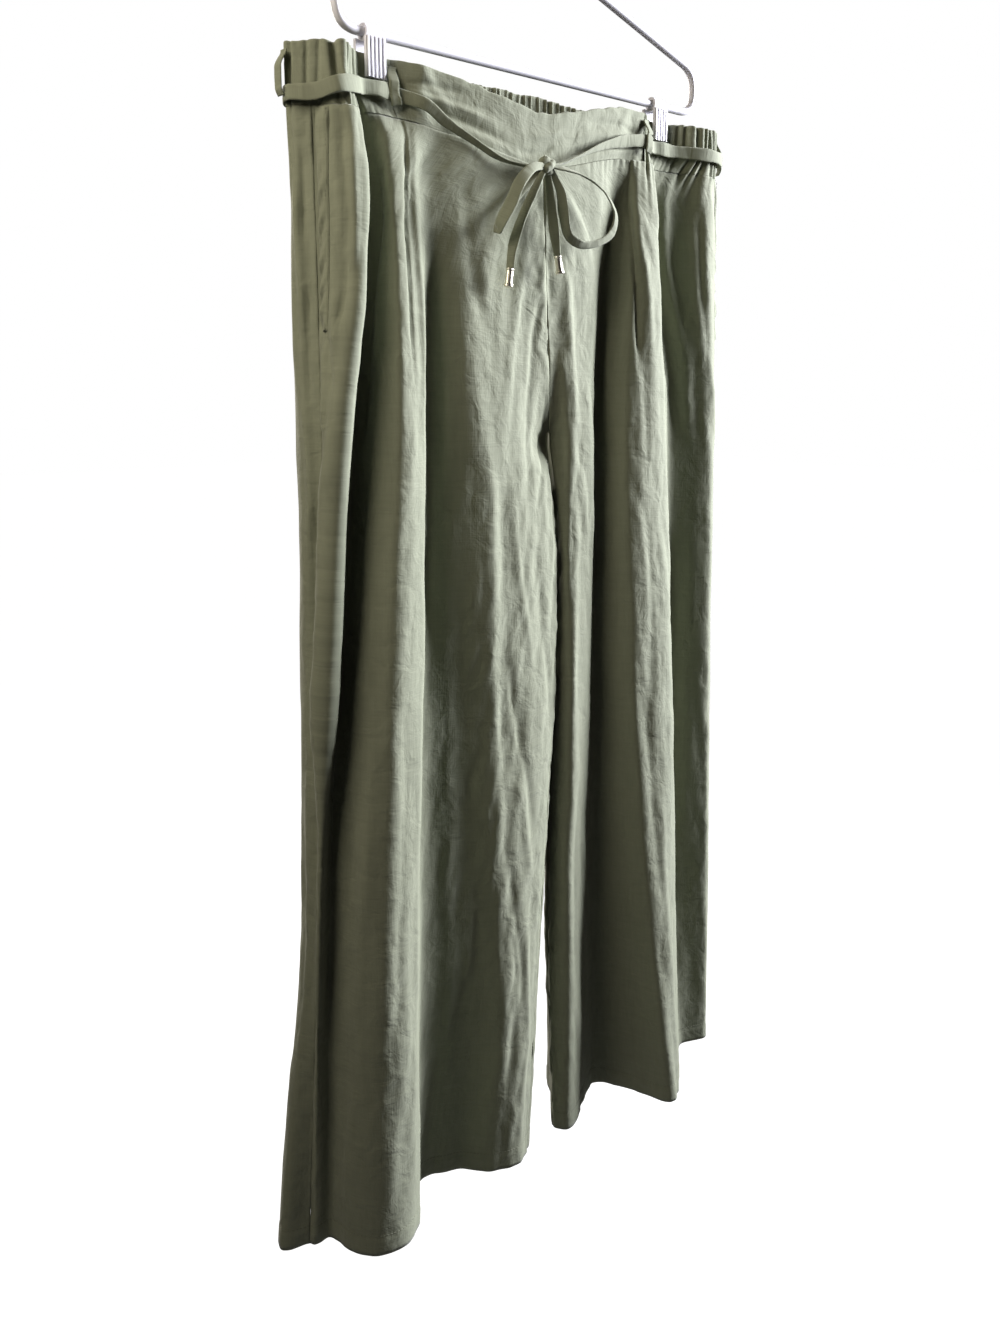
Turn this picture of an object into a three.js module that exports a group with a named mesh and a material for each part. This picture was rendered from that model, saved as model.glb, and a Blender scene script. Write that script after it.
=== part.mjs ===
import * as THREE from 'three';

// Palazzo pants hung by two clips from a tube hanger.
// Millimetres, +Z up. The front of the garment faces -Y and its right leg lies on the -X side.
// The origin is where the hanger's hook rests on its rail.

// Driving dimensions
const WAIST_Z = -220;
const OUTSEAM = 1040;
const BAND_HEIGHT = 44;
const CROTCH_DOWN = 292;
const CLOTH = 1.2;
const BAND_CLOTH = 2.4;
const SEAM_GAP = 0.3;
const BELT_WIDTH = 12;
const BELT_CLOTH = 1.2;
const TIP_LENGTH = 15;
const TIP_RADIUS = 3.6;
const KNOT_RADIUS = 7;
const LOOP_WIDTH = 10;
const GATHERS = 64;
const GATHER_DEPTH = 1.7;
const BAR_Z = -204;
const BAR_RADIUS = 3.5;
const HANGER_HALF_WIDTH = 217;
const CLIP_WIDTH = 19;
const CLIP_X = [-185, 160];
const HALF_PINCH = 3.4;

// Colours
const CLOTH_COLOUR = 0x7d7f69;
const METAL_COLOUR = 0xcfc8b4;
const PLASTIC_COLOUR = 0xe9e9ec;

// Heights down from the waist's top edge at which the fold tables give x and out.
const LEVELS = { waist: 20, hip: 250, knee: 650, hem: OUTSEAM };

// Fold tables. A row is one fold line from waist to hem, in order from the side seam to the
// middle. Each place is [x, out], out being the distance in front of the hanging plane.
// drop is how far the waist's top edge sags there.
const FRONT_RIGHT_FOLDS = [
  { fold: 'side seam', waist: [-243, 7], hip: [-239, 3], knee: [-259, -3], hem: [-277, -18], drop: 0 },
  { fold: 'pocket bulge', waist: [-234, 17], hip: [-235, 28], knee: [-265, 13], hem: [-270, -14], drop: 0 },
  { fold: 'pocket recess', waist: [-212, 18], hip: [-210, 9], knee: [-247, -5], hem: [-262, -12], drop: 0 },
  { fold: 'crest flank', waist: [-199, 15], hip: [-198, 30], knee: [-237, 20], hem: [-260, 8], drop: 0 },
  { fold: 'crest', waist: [-184, 15], hip: [-186, 50], knee: [-220, 52], hem: [-243, 36], drop: 0 },
  { fold: 'crest shoulder', waist: [-165, 16], hip: [-169, 47], knee: [-190, 47], hem: [-211, 42], drop: 1 },
  { fold: 'pleat valley', waist: [-138, 18], hip: [-144, 10], knee: [-148, 0], hem: [-142, -16], drop: 4 },
  { fold: 'thigh flat', waist: [-104, 23], hip: [-108, 21], knee: [-110, 7], hem: [-108, -10], drop: 9 },
  { fold: 'inner ridge', waist: [-62, 28], hip: [-62, 34], knee: [-58, 33], hem: [-70, 31], drop: 17 },
];
const FRONT_LEFT_FOLDS = [
  { fold: 'side seam', waist: [250, 2], hip: [262, 1], knee: [282, 0], hem: [300, 2], drop: 0 },
  { fold: 'pocket bulge', waist: [235, 16], hip: [247, 24], knee: [262, 22], hem: [286, 20], drop: 0 },
  { fold: 'pocket recess', waist: [206, 20], hip: [196, 12], knee: [222, 6], hem: [256, 12], drop: 0 },
  { fold: 'crest back', waist: [172, 13], hip: [158, 24], knee: [194, 24], hem: [226, 26], drop: 0 },
  { fold: 'crest shoulder', waist: [140, 16], hip: [137, 46], knee: [166, 52], hem: [188, 54], drop: 0 },
  { fold: 'crest', waist: [112, 20], hip: [112, 52], knee: [126, 62], hem: [148, 76], drop: 0 },
  { fold: 'crest flank', waist: [98, 21], hip: [99, 34], knee: [113, 34], hem: [134, 26], drop: 0 },
  { fold: 'pleat valley', waist: [82, 23], hip: [86, 14], knee: [100, 6], hem: [120, -10], drop: 1 },
  { fold: 'thigh flat', waist: [50, 26], hip: [60, 20], knee: [66, 10], hem: [84, 4], drop: 7 },
  { fold: 'inner ridge', waist: [12, 29], hip: [26, 36], knee: [40, 36], hem: [33, 34], drop: 16 },
];
const BACK_RIGHT_FOLDS = [
  { fold: 'side seam', waist: [-243, 7], hip: [-239, 3], knee: [-259, -3], hem: [-277, -18], drop: 0 },
  { fold: 'side roll', waist: [-254, -11], hip: [-252, -18], knee: [-260, -20], hem: [-301, -29], drop: 0 },
  { fold: 'outer ridge', waist: [-224, -26], hip: [-230, -42], knee: [-240, -52], hem: [-268, -66], drop: 0 },
  { fold: 'outer valley', waist: [-184, -20], hip: [-190, -24], knee: [-194, -22], hem: [-208, -30], drop: 0 },
  { fold: 'middle ridge', waist: [-138, -23], hip: [-144, -46], knee: [-146, -58], hem: [-154, -72], drop: 0 },
  { fold: 'middle valley', waist: [-94, -25], hip: [-98, -27], knee: [-100, -20], hem: [-104, -28], drop: 1 },
  { fold: 'inner ridge', waist: [-50, -28], hip: [-52, -46], knee: [-48, -50], hem: [-56, -58], drop: 2 },
  { fold: 'inner roll', waist: [-22, -29], hip: [-24, -44], knee: [16, -6], hem: [-8, -10], drop: 3 },
];
const BACK_LEFT_FOLDS = [
  { fold: 'side seam', waist: [250, 2], hip: [262, 1], knee: [282, 0], hem: [300, 2], drop: 0 },
  { fold: 'side roll', waist: [249, -15], hip: [272, -16], knee: [290, -20], hem: [311, -22], drop: 0 },
  { fold: 'outer ridge', waist: [224, -25], hip: [244, -38], knee: [262, -50], hem: [284, -60], drop: 0 },
  { fold: 'outer valley', waist: [178, -18], hip: [194, -22], knee: [212, -26], hem: [228, -24], drop: 0 },
  { fold: 'middle ridge', waist: [130, -20], hip: [146, -44], knee: [162, -54], hem: [180, -66], drop: 0 },
  { fold: 'middle valley', waist: [92, -25], hip: [100, -24], knee: [118, -26], hem: [136, -36], drop: 1 },
  { fold: 'inner ridge', waist: [52, -28], hip: [54, -46], knee: [74, -52], hem: [94, -60], drop: 2 },
  { fold: 'inner roll', waist: [24, -29], hip: [24, -42], knee: [40, -20], hem: [54, -20], drop: 3 },
];

// Lines where the panels meet in the middle. Above the crotch the two legs share them.
const CROTCH_X = -6;
const CROTCH_OUT = -3;
const CROTCH_HALF_STEP = CLOTH / 2 + SEAM_GAP / 2 + 0.1;
const FRONT_CENTRE = [
  { down: 0, x: -26, out: 29 },
  { down: 170, x: -22, out: 33 },
  { down: 236, x: -16, out: 31 },
  { down: CROTCH_DOWN, x: CROTCH_X, out: CROTCH_OUT + CROTCH_HALF_STEP },
];
const BACK_CENTRE = [
  { down: 0, x: 0, out: -29 },
  { down: 170, x: -1, out: -42 },
  { down: 230, x: -3, out: -38 },
  { down: CROTCH_DOWN, x: CROTCH_X, out: CROTCH_OUT - CROTCH_HALF_STEP },
];
const LEG_START_DOWN = CROTCH_DOWN + 12;
const INSEAM_RIGHT = [
  { down: LEG_START_DOWN, x: CROTCH_X - 1.2, out: CROTCH_OUT },
  { down: 350, x: 4, out: 2 },
  { down: 410, x: 12, out: 8 },
  { down: 520, x: 12, out: 20 },
  { down: LEVELS.knee, x: -7, out: 27 },
  { down: OUTSEAM, x: -31, out: 24 },
];
const INSEAM_LEFT = [
  { down: LEG_START_DOWN, x: CROTCH_X + 1.2, out: CROTCH_OUT },
  { down: 350, x: 9, out: 8 },
  { down: 410, x: 18, out: 14 },
  { down: 520, x: 23, out: 18 },
  { down: LEVELS.knee, x: 26, out: 20 },
  { down: OUTSEAM, x: 20, out: 14 },
];
const CENTRE_DROP = { front: 22, back: 4 };

// The right-hand and left-hand leg panels, their neighbours and the way that their outer side faces.
const PANELS = {
  front_right: { folds: FRONT_RIGHT_FOLDS, centre: FRONT_CENTRE, inseam: INSEAM_RIGHT, across: 'front_left',
    behind: 'back_right', side: -1, face: 1, drop: CENTRE_DROP.front },
  front_left: { folds: FRONT_LEFT_FOLDS, centre: FRONT_CENTRE, inseam: INSEAM_LEFT, across: 'front_right',
    behind: 'back_left', side: 1, face: 1, drop: CENTRE_DROP.front },
  back_right: { folds: BACK_RIGHT_FOLDS, centre: BACK_CENTRE, inseam: INSEAM_RIGHT, across: 'back_left',
    behind: 'front_right', side: -1, face: -1, drop: CENTRE_DROP.back },
  back_left: { folds: BACK_LEFT_FOLDS, centre: BACK_CENTRE, inseam: INSEAM_LEFT, across: 'back_right',
    behind: 'front_left', side: 1, face: -1, drop: CENTRE_DROP.back },
};
const PANEL_ROWS = [
  76, 110, 150, 196, 236, 266, CROTCH_DOWN, LEG_START_DOWN, 350, 410, 520, 650, 780, 910, OUTSEAM,
];
const COLUMNS_PER_FOLD = 3;

// The belt's line across the front, from one side to the other: down from the waist's level edge,
// and clear of the band's middle surface, or out of the hanging plane beside the knot.
const BELT_FRONT_RIGHT = [
  { x: -230, down: 28, clear: 7.0 },
  { x: -218, down: 26, clear: 7.4 },
  { x: -204, down: 25.5, clear: 8.2 },
  { x: -186, down: 25.5, clear: 9.5 },
  { x: -166, down: 27, clear: 6.4 },
  { x: -148, down: 33, clear: 6.2 },
  { x: -128, down: 43, clear: 6.0 },
  { x: -104, down: 55, clear: 6.0 },
  { x: -74, down: 66, clear: 8.0 },
  { x: -54, down: 69, out: 41 },
  { x: -41.7, down: 68, out: 43 },
];
const BELT_FRONT_LEFT = [
  { x: -26.3, down: 66, out: 43 },
  { x: -14, down: 63, out: 40 },
  { x: 4, down: 56, clear: 9.0 },
  { x: 42, down: 41, clear: 6.6 },
  { x: 84, down: 30, clear: 5.2 },
  { x: 121, down: 25.5, clear: 5.8 },
  { x: 142, down: 25.5, clear: 7.4 },
  { x: 160, down: 25.5, clear: 9.5 },
  { x: 184, down: 25.5, clear: 7.6 },
  { x: 214, down: 26, clear: 6.8 },
  { x: 238, down: 26, clear: 6.8 },
];
const BELT_BACK_DOWN = 25.5;
const BELT_BACK_CLEAR = 6.8;
const BELT_BRIDGE = 5;

// Bow and tails. lean turns the strip's width about its path: 0 is edge-on to the front, 90 face-on.
// wide is the share of the belt's width that is not folded in.
const KNOT = { x: -34, out: 44, down: 67 };
const BOW_RIGHT = [
  { x: -39.8, out: 48, down: 69, lean: 30, wide: 0.5 },
  { x: -58, out: 51, down: 72, lean: 40, wide: 0.9 },
  { x: -75, out: 53, down: 86, lean: 60, wide: 1 },
  { x: -84, out: 53, down: 103, lean: 75, wide: 1 },
  { x: -93, out: 50, down: 120, lean: 60, wide: 1 },
  { x: -90, out: 43, down: 122, lean: 50, wide: 1 },
  { x: -80, out: 40, down: 109, lean: 60, wide: 1 },
  { x: -62, out: 38, down: 92, lean: 60, wide: 0.8 },
  { x: -46, out: 39, down: 80, lean: 60, wide: 0.5 },
];
const BOW_LEFT = [
  { x: -27.3, out: 48, down: 68, lean: 12, wide: 0.5 },
  { x: -8, out: 52, down: 70, lean: 10, wide: 0.9 },
  { x: 16, out: 52, down: 75, lean: 14, wide: 1 },
  { x: 34, out: 53, down: 85, lean: 22, wide: 1 },
  { x: 46, out: 53, down: 101, lean: 38, wide: 1 },
  { x: 43, out: 52, down: 115, lean: 52, wide: 1 },
  { x: 26, out: 51, down: 125, lean: 56, wide: 1 },
  { x: 2, out: 50, down: 129, lean: 52, wide: 1 },
  { x: -13, out: 49, down: 122, lean: 40, wide: 1 },
  { x: -16, out: 48, down: 104, lean: 28, wide: 1 },
  { x: -20, out: 48, down: 87, lean: 20, wide: 0.8 },
  { x: -27, out: 46.5, down: 75.5, lean: 20, wide: 0.45 },
];
const TAIL_RIGHT = [
  { x: -37.2, out: 44, down: 73.8, lean: 60, wide: 0.5 },
  { x: -51, out: 46, down: 90, lean: 60, wide: 0.9 },
  { x: -66, out: 47, down: 113, lean: 64, wide: 1 },
  { x: -76, out: 47, down: 136, lean: 62, wide: 1 },
  { x: -79, out: 47, down: 153, lean: 66, wide: 0.8 },
];
const TAIL_LEFT = [
  { x: -32.2, out: 44, down: 74.1, lean: 66, wide: 0.5 },
  { x: -29, out: 45, down: 92, lean: 66, wide: 0.9 },
  { x: -26, out: 46, down: 116, lean: 62, wide: 1 },
  { x: -22, out: 47, down: 139, lean: 66, wide: 0.8 },
];

// Belt loops by their place round the band: the x on the named panel. over is how far a loop
// stands out from the band's middle where it passes over the belt.
const BELT_LOOPS = [
  { name: 'loop_front_right', panel: 'front_right', x: -168, over: 9.6 },
  { name: 'loop_front_left', panel: 'front_left', x: 121, over: 8.4 },
  { name: 'loop_side_right', panel: 'back_right', x: -254, over: 8.9 },
  { name: 'loop_side_left', panel: 'back_left', x: 250, over: 8.9 },
  { name: 'loop_back', panel: 'back_right', x: -3, over: 8.4 },
];
const LOOP_CLOTH = 1.2;

// Pocket edges: the stitched strip beside the opening, in fold units from the side seam.
const POCKET_TOP = 50;
const POCKET_BOTTOM = 208;
const POCKET_EDGES = [
  { name: 'pocket_edge_right', panel: 'front_right', from: 0.3, to: 0.9 },
  { name: 'pocket_edge_left', panel: 'front_left', from: 0.3, to: 0.9 },
];

// A smooth curve through the stations' values that never overshoots them.
function through(stations, values, at) {
  const last = stations.length - 1;
  if (at <= stations[0]) return values[0];
  if (at >= stations[last]) return values[last];
  const steps = [];
  for (let i = 0; i < last; i += 1) {
    steps.push((values[i + 1] - values[i]) / (stations[i + 1] - stations[i]));
  }
  const slopes = values.map((value, i) => {
    if (i === 0) return steps[0];
    if (i === last) return steps[last - 1];
    if (steps[i - 1] * steps[i] <= 0) return 0;
    return 2 / (1 / steps[i - 1] + 1 / steps[i]);
  });
  let i = 0;
  while (at > stations[i + 1]) i += 1;
  const span = stations[i + 1] - stations[i];
  const t = (at - stations[i]) / span;
  const rise = t * t * (3 - 2 * t);
  const early = t * (1 - t) * (1 - t) * span * slopes[i];
  const late = t * t * (t - 1) * span * slopes[i + 1];
  return values[i] + (values[i + 1] - values[i]) * rise + early + late;
}

function smoothRise(from, to, value) {
  return THREE.MathUtils.smoothstep(value, from, to);
}

function place(x, out, down) {
  return new THREE.Vector3(x, -out, WAIST_Z - down);
}

// How much of the waist's sag is left at a height: none from the crotch down.
function sagLeft(down) {
  return 1 - smoothRise(BAND_HEIGHT, CROTCH_DOWN, down);
}

const LEVEL_DOWNS = Object.values(LEVELS);

function foldPoint(fold, down) {
  const places = Object.keys(LEVELS).map((level) => fold[level]);
  const x = through(LEVEL_DOWNS, places.map((p) => p[0]), down);
  const out = through(LEVEL_DOWNS, places.map((p) => p[1]), down);
  return place(x, out, down + fold.drop * sagLeft(down));
}

function linePoint(rows, down, drop) {
  const downs = rows.map((row) => row.down);
  const x = through(downs, rows.map((row) => row.x), down);
  const out = through(downs, rows.map((row) => row.out), down);
  return place(x, out, down + drop * sagLeft(down));
}

function innerPoint(panel, down) {
  if (down <= CROTCH_DOWN) return linePoint(panel.centre, down, panel.drop);
  return linePoint(panel.inseam, down, panel.drop);
}

// One level of a panel as a curve from its side seam to its inner end.
const sectionCache = new Map();
function section(name, down) {
  const key = `${name} ${down}`;
  if (sectionCache.has(key)) return sectionCache.get(key);
  const panel = PANELS[name];
  const across = PANELS[panel.across].folds;
  const behind = PANELS[panel.behind].folds;
  const points = panel.folds.map((fold) => foldPoint(fold, down));
  points.push(innerPoint(panel, down));
  const beforeSeam = foldPoint(behind[1], down);
  const otherLeg = foldPoint(across[across.length - 1], down);
  const ownLeg = foldPoint(behind[behind.length - 1], down);
  const split = smoothRise(CROTCH_DOWN, LEG_START_DOWN, down);
  const pastInner = otherLeg.lerp(ownLeg, split);
  const curve = new THREE.CatmullRomCurve3([beforeSeam, ...points, pastInner], false, 'centripetal');
  sectionCache.set(key, curve);
  return curve;
}

// The clips press front and back together at the waist. The press fades out beside and below them.
const PRESS_BESIDE = { full: 0.6 * CLIP_WIDTH, none: 2.1 * CLIP_WIDTH };
const PRESS_BELOW = { full: 24, none: 62 };

function pinch(x, down) {
  let share = 0;
  for (const clipX of CLIP_X) {
    const beside = 1 - smoothRise(PRESS_BESIDE.full, PRESS_BESIDE.none, Math.abs(x - clipX));
    share = Math.max(share, beside);
  }
  return share * (1 - smoothRise(PRESS_BELOW.full, PRESS_BELOW.none, down));
}

// A point of a panel's middle surface. u counts fold lines from the side seam.
function panelPoint(name, u, down) {
  const panel = PANELS[name];
  const curve = section(name, down);
  const point = curve.getPoint((1 + u) / (curve.points.length - 1));
  const share = pinch(point.x, down);
  point.y = THREE.MathUtils.lerp(point.y, -panel.face * HALF_PINCH, share);
  return point;
}

// The surface's outward normal, from neighbouring points a little to each side.
const NEAR_U = 0.03;
const NEAR_DOWN = 3;

function panelNormal(name, u, down) {
  const panel = PANELS[name];
  const along = panelPoint(name, u + NEAR_U, down).sub(panelPoint(name, u - NEAR_U, down));
  const upper = Math.max(down - NEAR_DOWN, 0);
  const lower = Math.min(down + NEAR_DOWN, OUTSEAM);
  const fall = panelPoint(name, u, lower).sub(panelPoint(name, u, upper));
  const normal = along.cross(fall).normalize();
  return normal.multiplyScalar(panel.side * panel.face);
}

// A closed wall round a grid of middle points, half the thickness to each side of them.
function wallGeometry(grid, thickness) {
  const rows = grid.length;
  const columns = grid[0].length;
  const last = columns - 1;
  const positions = [];
  for (const side of [1, -1]) {
    for (const row of grid) {
      for (const { point, normal } of row) {
        const moved = point.clone().addScaledVector(normal, side * thickness / 2);
        positions.push(moved.x, moved.y, moved.z);
      }
    }
  }
  const index = [];
  const outer = (i, j) => i * columns + j;
  const inner = (i, j) => rows * columns + i * columns + j;
  const quad = (a, b, c, d) => index.push(a, b, c, a, c, d);
  for (let i = 0; i < rows - 1; i += 1) {
    for (let j = 0; j < columns - 1; j += 1) {
      quad(outer(i, j), outer(i + 1, j), outer(i + 1, j + 1), outer(i, j + 1));
      quad(inner(i, j), inner(i, j + 1), inner(i + 1, j + 1), inner(i + 1, j));
    }
  }
  for (let j = 0; j < columns - 1; j += 1) {
    quad(outer(0, j), outer(0, j + 1), inner(0, j + 1), inner(0, j));
    quad(outer(rows - 1, j + 1), outer(rows - 1, j), inner(rows - 1, j), inner(rows - 1, j + 1));
  }
  for (let i = 0; i < rows - 1; i += 1) {
    quad(outer(i + 1, 0), outer(i, 0), inner(i, 0), inner(i + 1, 0));
    quad(outer(i, last), outer(i + 1, last), inner(i + 1, last), inner(i, last));
  }
  if (!facesOut(grid)) index.reverse();
  const geometry = new THREE.BufferGeometry();
  geometry.setAttribute('position', new THREE.Float32BufferAttribute(positions, 3));
  geometry.setIndex(index);
  geometry.computeVertexNormals();
  return geometry;
}

// True when rows going down and columns going along turn towards the grid's own normals.
function facesOut(grid) {
  const i = Math.floor((grid.length - 1) / 2);
  const j = Math.floor((grid[0].length - 1) / 2);
  const fall = grid[i + 1][j].point.clone().sub(grid[i][j].point);
  const along = grid[i][j + 1].point.clone().sub(grid[i][j].point);
  return fall.cross(along).dot(grid[i][j].normal) > 0;
}

const garment = new THREE.Group();

function addPiece(name, geometry, colour, roughness, metalness) {
  const material = new THREE.MeshStandardMaterial({ color: colour, roughness, metalness });
  const mesh = new THREE.Mesh(geometry, material);
  mesh.name = name;
  garment.add(mesh);
  return mesh;
}

function addCloth(name, geometry) {
  return addPiece(name, geometry, CLOTH_COLOUR, 0.9, 0);
}

// Leg panels

// The panel's inner end faces its neighbour squarely: across the centre seam above the crotch,
// front to back below it.
const SQUARE_UNTIL = 410;

function innerEnd(name, down) {
  const panel = PANELS[name];
  const u = panel.folds.length;
  const point = panelPoint(name, u, down);
  const natural = panelNormal(name, u, down);
  if (down <= CROTCH_DOWN) {
    point.x += panel.side * SEAM_GAP / 2;
    return { point, normal: new THREE.Vector3(0, -panel.face, 0) };
  }
  const square = new THREE.Vector3(-panel.side, 0, 0);
  const freed = smoothRise(LEG_START_DOWN, SQUARE_UNTIL, down);
  const normal = square.lerp(natural, freed).normalize();
  point.y -= panel.face * SEAM_GAP / 2;
  return { point, normal };
}

function sideEnd(name, down) {
  const point = panelPoint(name, 0, down);
  const along = panelPoint(name, 0.05, down).sub(point).normalize();
  return { point: point.addScaledVector(along, SEAM_GAP / 2), normal: panelNormal(name, 0, down) };
}

function buildPanel(name) {
  const steps = PANELS[name].folds.length * COLUMNS_PER_FOLD;
  const downs = [BAND_HEIGHT + SEAM_GAP, ...PANEL_ROWS];
  const grid = downs.map((down) => {
    const row = [sideEnd(name, down)];
    for (let j = 1; j < steps; j += 1) {
      const u = j / COLUMNS_PER_FOLD;
      row.push({ point: panelPoint(name, u, down), normal: panelNormal(name, u, down) });
    }
    row.push(innerEnd(name, down));
    return row;
  });
  addCloth(name, wallGeometry(grid, CLOTH));
}

Object.keys(PANELS).forEach(buildPanel);

// The waist as one closed round, measured along the middle of the band.
const ROUND_ORDER = [
  { panel: 'front_right', inward: true },
  { panel: 'front_left', inward: false },
  { panel: 'back_left', inward: true },
  { panel: 'back_right', inward: false },
];
const ROUND_STEPS = 60;

function measureRound() {
  const marks = [];
  let length = 0;
  let before = null;
  for (const { panel, inward } of ROUND_ORDER) {
    const folds = PANELS[panel].folds.length;
    for (let i = 0; i <= ROUND_STEPS; i += 1) {
      const u = folds * (inward ? i : ROUND_STEPS - i) / ROUND_STEPS;
      const point = panelPoint(panel, u, BAND_HEIGHT / 2);
      if (before) length += point.distanceTo(before);
      marks.push({ panel, u, length, point });
      before = point;
    }
  }
  return marks;
}

const ROUND = measureRound();
const ROUND_LENGTH = ROUND[ROUND.length - 1].length;

function roundPlace(length) {
  const wrapped = THREE.MathUtils.euclideanModulo(length, ROUND_LENGTH);
  let k = 1;
  while (ROUND[k].length < wrapped) k += 1;
  if (ROUND[k].panel !== ROUND[k - 1].panel) k += 1;
  const span = ROUND[k].length - ROUND[k - 1].length;
  const t = span > 0 ? Math.max(0, (wrapped - ROUND[k - 1].length) / span) : 0;
  return { panel: ROUND[k].panel, u: THREE.MathUtils.lerp(ROUND[k - 1].u, ROUND[k].u, t) };
}

function bandPoint(length, down) {
  const { panel, u } = roundPlace(length);
  return { point: panelPoint(panel, u, down), normal: panelNormal(panel, u, down) };
}

// The length round the waist at which a panel passes an x.
function lengthAt(panel, x) {
  const marks = ROUND.filter((mark) => mark.panel === panel);
  let nearest = marks[0];
  for (const mark of marks) {
    if (Math.abs(mark.point.x - x) < Math.abs(nearest.point.x - x)) nearest = mark;
  }
  return nearest.length;
}

const FRONT_BAND_FROM = lengthAt('front_right', BELT_LOOPS[0].x);
const FRONT_BAND_TO = lengthAt('front_left', BELT_LOOPS[1].x);

function movedOut(spot, distance) {
  return { point: spot.point.addScaledVector(spot.normal, distance), normal: spot.normal };
}

// Waistband: a flat stretch across the front and a gathered elastic stretch round the rest.
const BAND_ROWS = [0, BAND_HEIGHT / 2, BAND_HEIGHT];
const FRONT_BAND_STEPS = 28;

function buildFrontBand() {
  const from = FRONT_BAND_FROM + SEAM_GAP / 2;
  const to = FRONT_BAND_TO - SEAM_GAP / 2;
  const grid = BAND_ROWS.map((down) => {
    const row = [];
    for (let j = 0; j <= FRONT_BAND_STEPS; j += 1) {
      row.push(bandPoint(THREE.MathUtils.lerp(from, to, j / FRONT_BAND_STEPS), down));
    }
    return row;
  });
  addCloth('band_front', wallGeometry(grid, BAND_CLOTH));
}

// Uneven gathers: each has its own width and depth.
function gatherWidth(k) {
  return 1 + 0.28 * Math.sin(2.4 * k) + 0.12 * Math.sin(0.7 * k + 1);
}

function gatherDepth(k) {
  return GATHER_DEPTH * (1 + 0.3 * Math.sin(5.1 * k + 0.5));
}

const QUARTER_SHIFTS = [0, 1, 0, -1];
const FLAT_UNDER_CLIP = 0.85;

function buildElasticBand() {
  const from = FRONT_BAND_TO + SEAM_GAP / 2;
  const to = FRONT_BAND_FROM + ROUND_LENGTH - SEAM_GAP / 2;
  let total = 0;
  for (let k = 0; k < GATHERS; k += 1) total += gatherWidth(k);
  const unit = (to - from) / total;
  const grid = BAND_ROWS.map(() => []);
  let start = from;
  for (let k = 0; k <= GATHERS; k += 1) {
    const quarters = k === GATHERS ? [0] : QUARTER_SHIFTS;
    quarters.forEach((shift, q) => {
      const length = Math.min(start + gatherWidth(k) * unit * q / QUARTER_SHIFTS.length, to);
      BAND_ROWS.forEach((down, i) => {
        const spot = bandPoint(length, down);
        const free = 1 - FLAT_UNDER_CLIP * pinch(spot.point.x, 0);
        grid[i].push(movedOut(spot, shift * gatherDepth(k) * free));
      });
    });
    start += gatherWidth(k) * unit;
  }
  addCloth('band_elastic', wallGeometry(grid, BAND_CLOTH));
}

buildFrontBand();
buildElasticBand();

// A flat strip along a path. Each station has its point and the direction of the strip's width.
function stripGeometry(stations, width, thickness) {
  const rows = [-0.5, 0, 0.5].map((share) => stations.map(({ point, across, wide }, i) => {
    const ahead = stations[Math.min(i + 1, stations.length - 1)].point;
    const behind = stations[Math.max(i - 1, 0)].point;
    const along = ahead.clone().sub(behind).normalize();
    const normal = along.cross(across).normalize();
    return { point: point.clone().addScaledVector(across, -share * width * (wide ?? 1)), normal };
  }));
  return wallGeometry(rows, thickness);
}

// Belt round the waist, from one side of the knot to the other.
const BELT_STEPS_PER_STOP = 2;
const BELT_BACK_STOPS = 32;
const BELT_BACK_FROM_X = 248;
const BELT_BACK_TO_X = -242;
const LOWEST_BAND_REST = BAND_HEIGHT - 4;

function beltStops() {
  const stops = [];
  const addStops = (rows, panel) => {
    for (const { x, down, clear, out } of rows) {
      const rest = bandPoint(lengthAt(panel, x), Math.min(down, LOWEST_BAND_REST));
      const stop = movedOut(rest, clear ?? 0);
      if (out) stop.point.copy(place(x, out, down));
      stop.point.z = WAIST_Z - down;
      stops.push(stop);
    }
  };
  addStops(BELT_FRONT_LEFT, 'front_left');
  const from = lengthAt('front_left', BELT_BACK_FROM_X);
  const to = lengthAt('front_right', BELT_BACK_TO_X) + ROUND_LENGTH;
  for (let i = 0; i <= BELT_BACK_STOPS; i += 1) {
    const spot = bandPoint(THREE.MathUtils.lerp(from, to, i / BELT_BACK_STOPS), BELT_BACK_DOWN);
    stops.push(movedOut(spot, BELT_BACK_CLEAR + BELT_BRIDGE * pinch(spot.point.x, 0)));
  }
  addStops(BELT_FRONT_RIGHT, 'front_right');
  return stops;
}

function buildBelt() {
  const stops = beltStops();
  const route = new THREE.CatmullRomCurve3(stops.map((stop) => stop.point), false, 'centripetal');
  const facing = new THREE.CatmullRomCurve3(stops.map((stop) => stop.normal), false, 'catmullrom');
  const steps = (stops.length - 1) * BELT_STEPS_PER_STOP;
  const stations = [];
  for (let i = 0; i <= steps; i += 1) {
    const along = route.getTangent(i / steps);
    const across = facing.getPoint(i / steps).cross(along).normalize();
    stations.push({ point: route.getPoint(i / steps), across });
  }
  addCloth('belt_round', stripGeometry(stations, BELT_WIDTH, BELT_CLOTH));
}

buildBelt();

// Bow, tails and knot
const STRIP_STEPS = 3;

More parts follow.
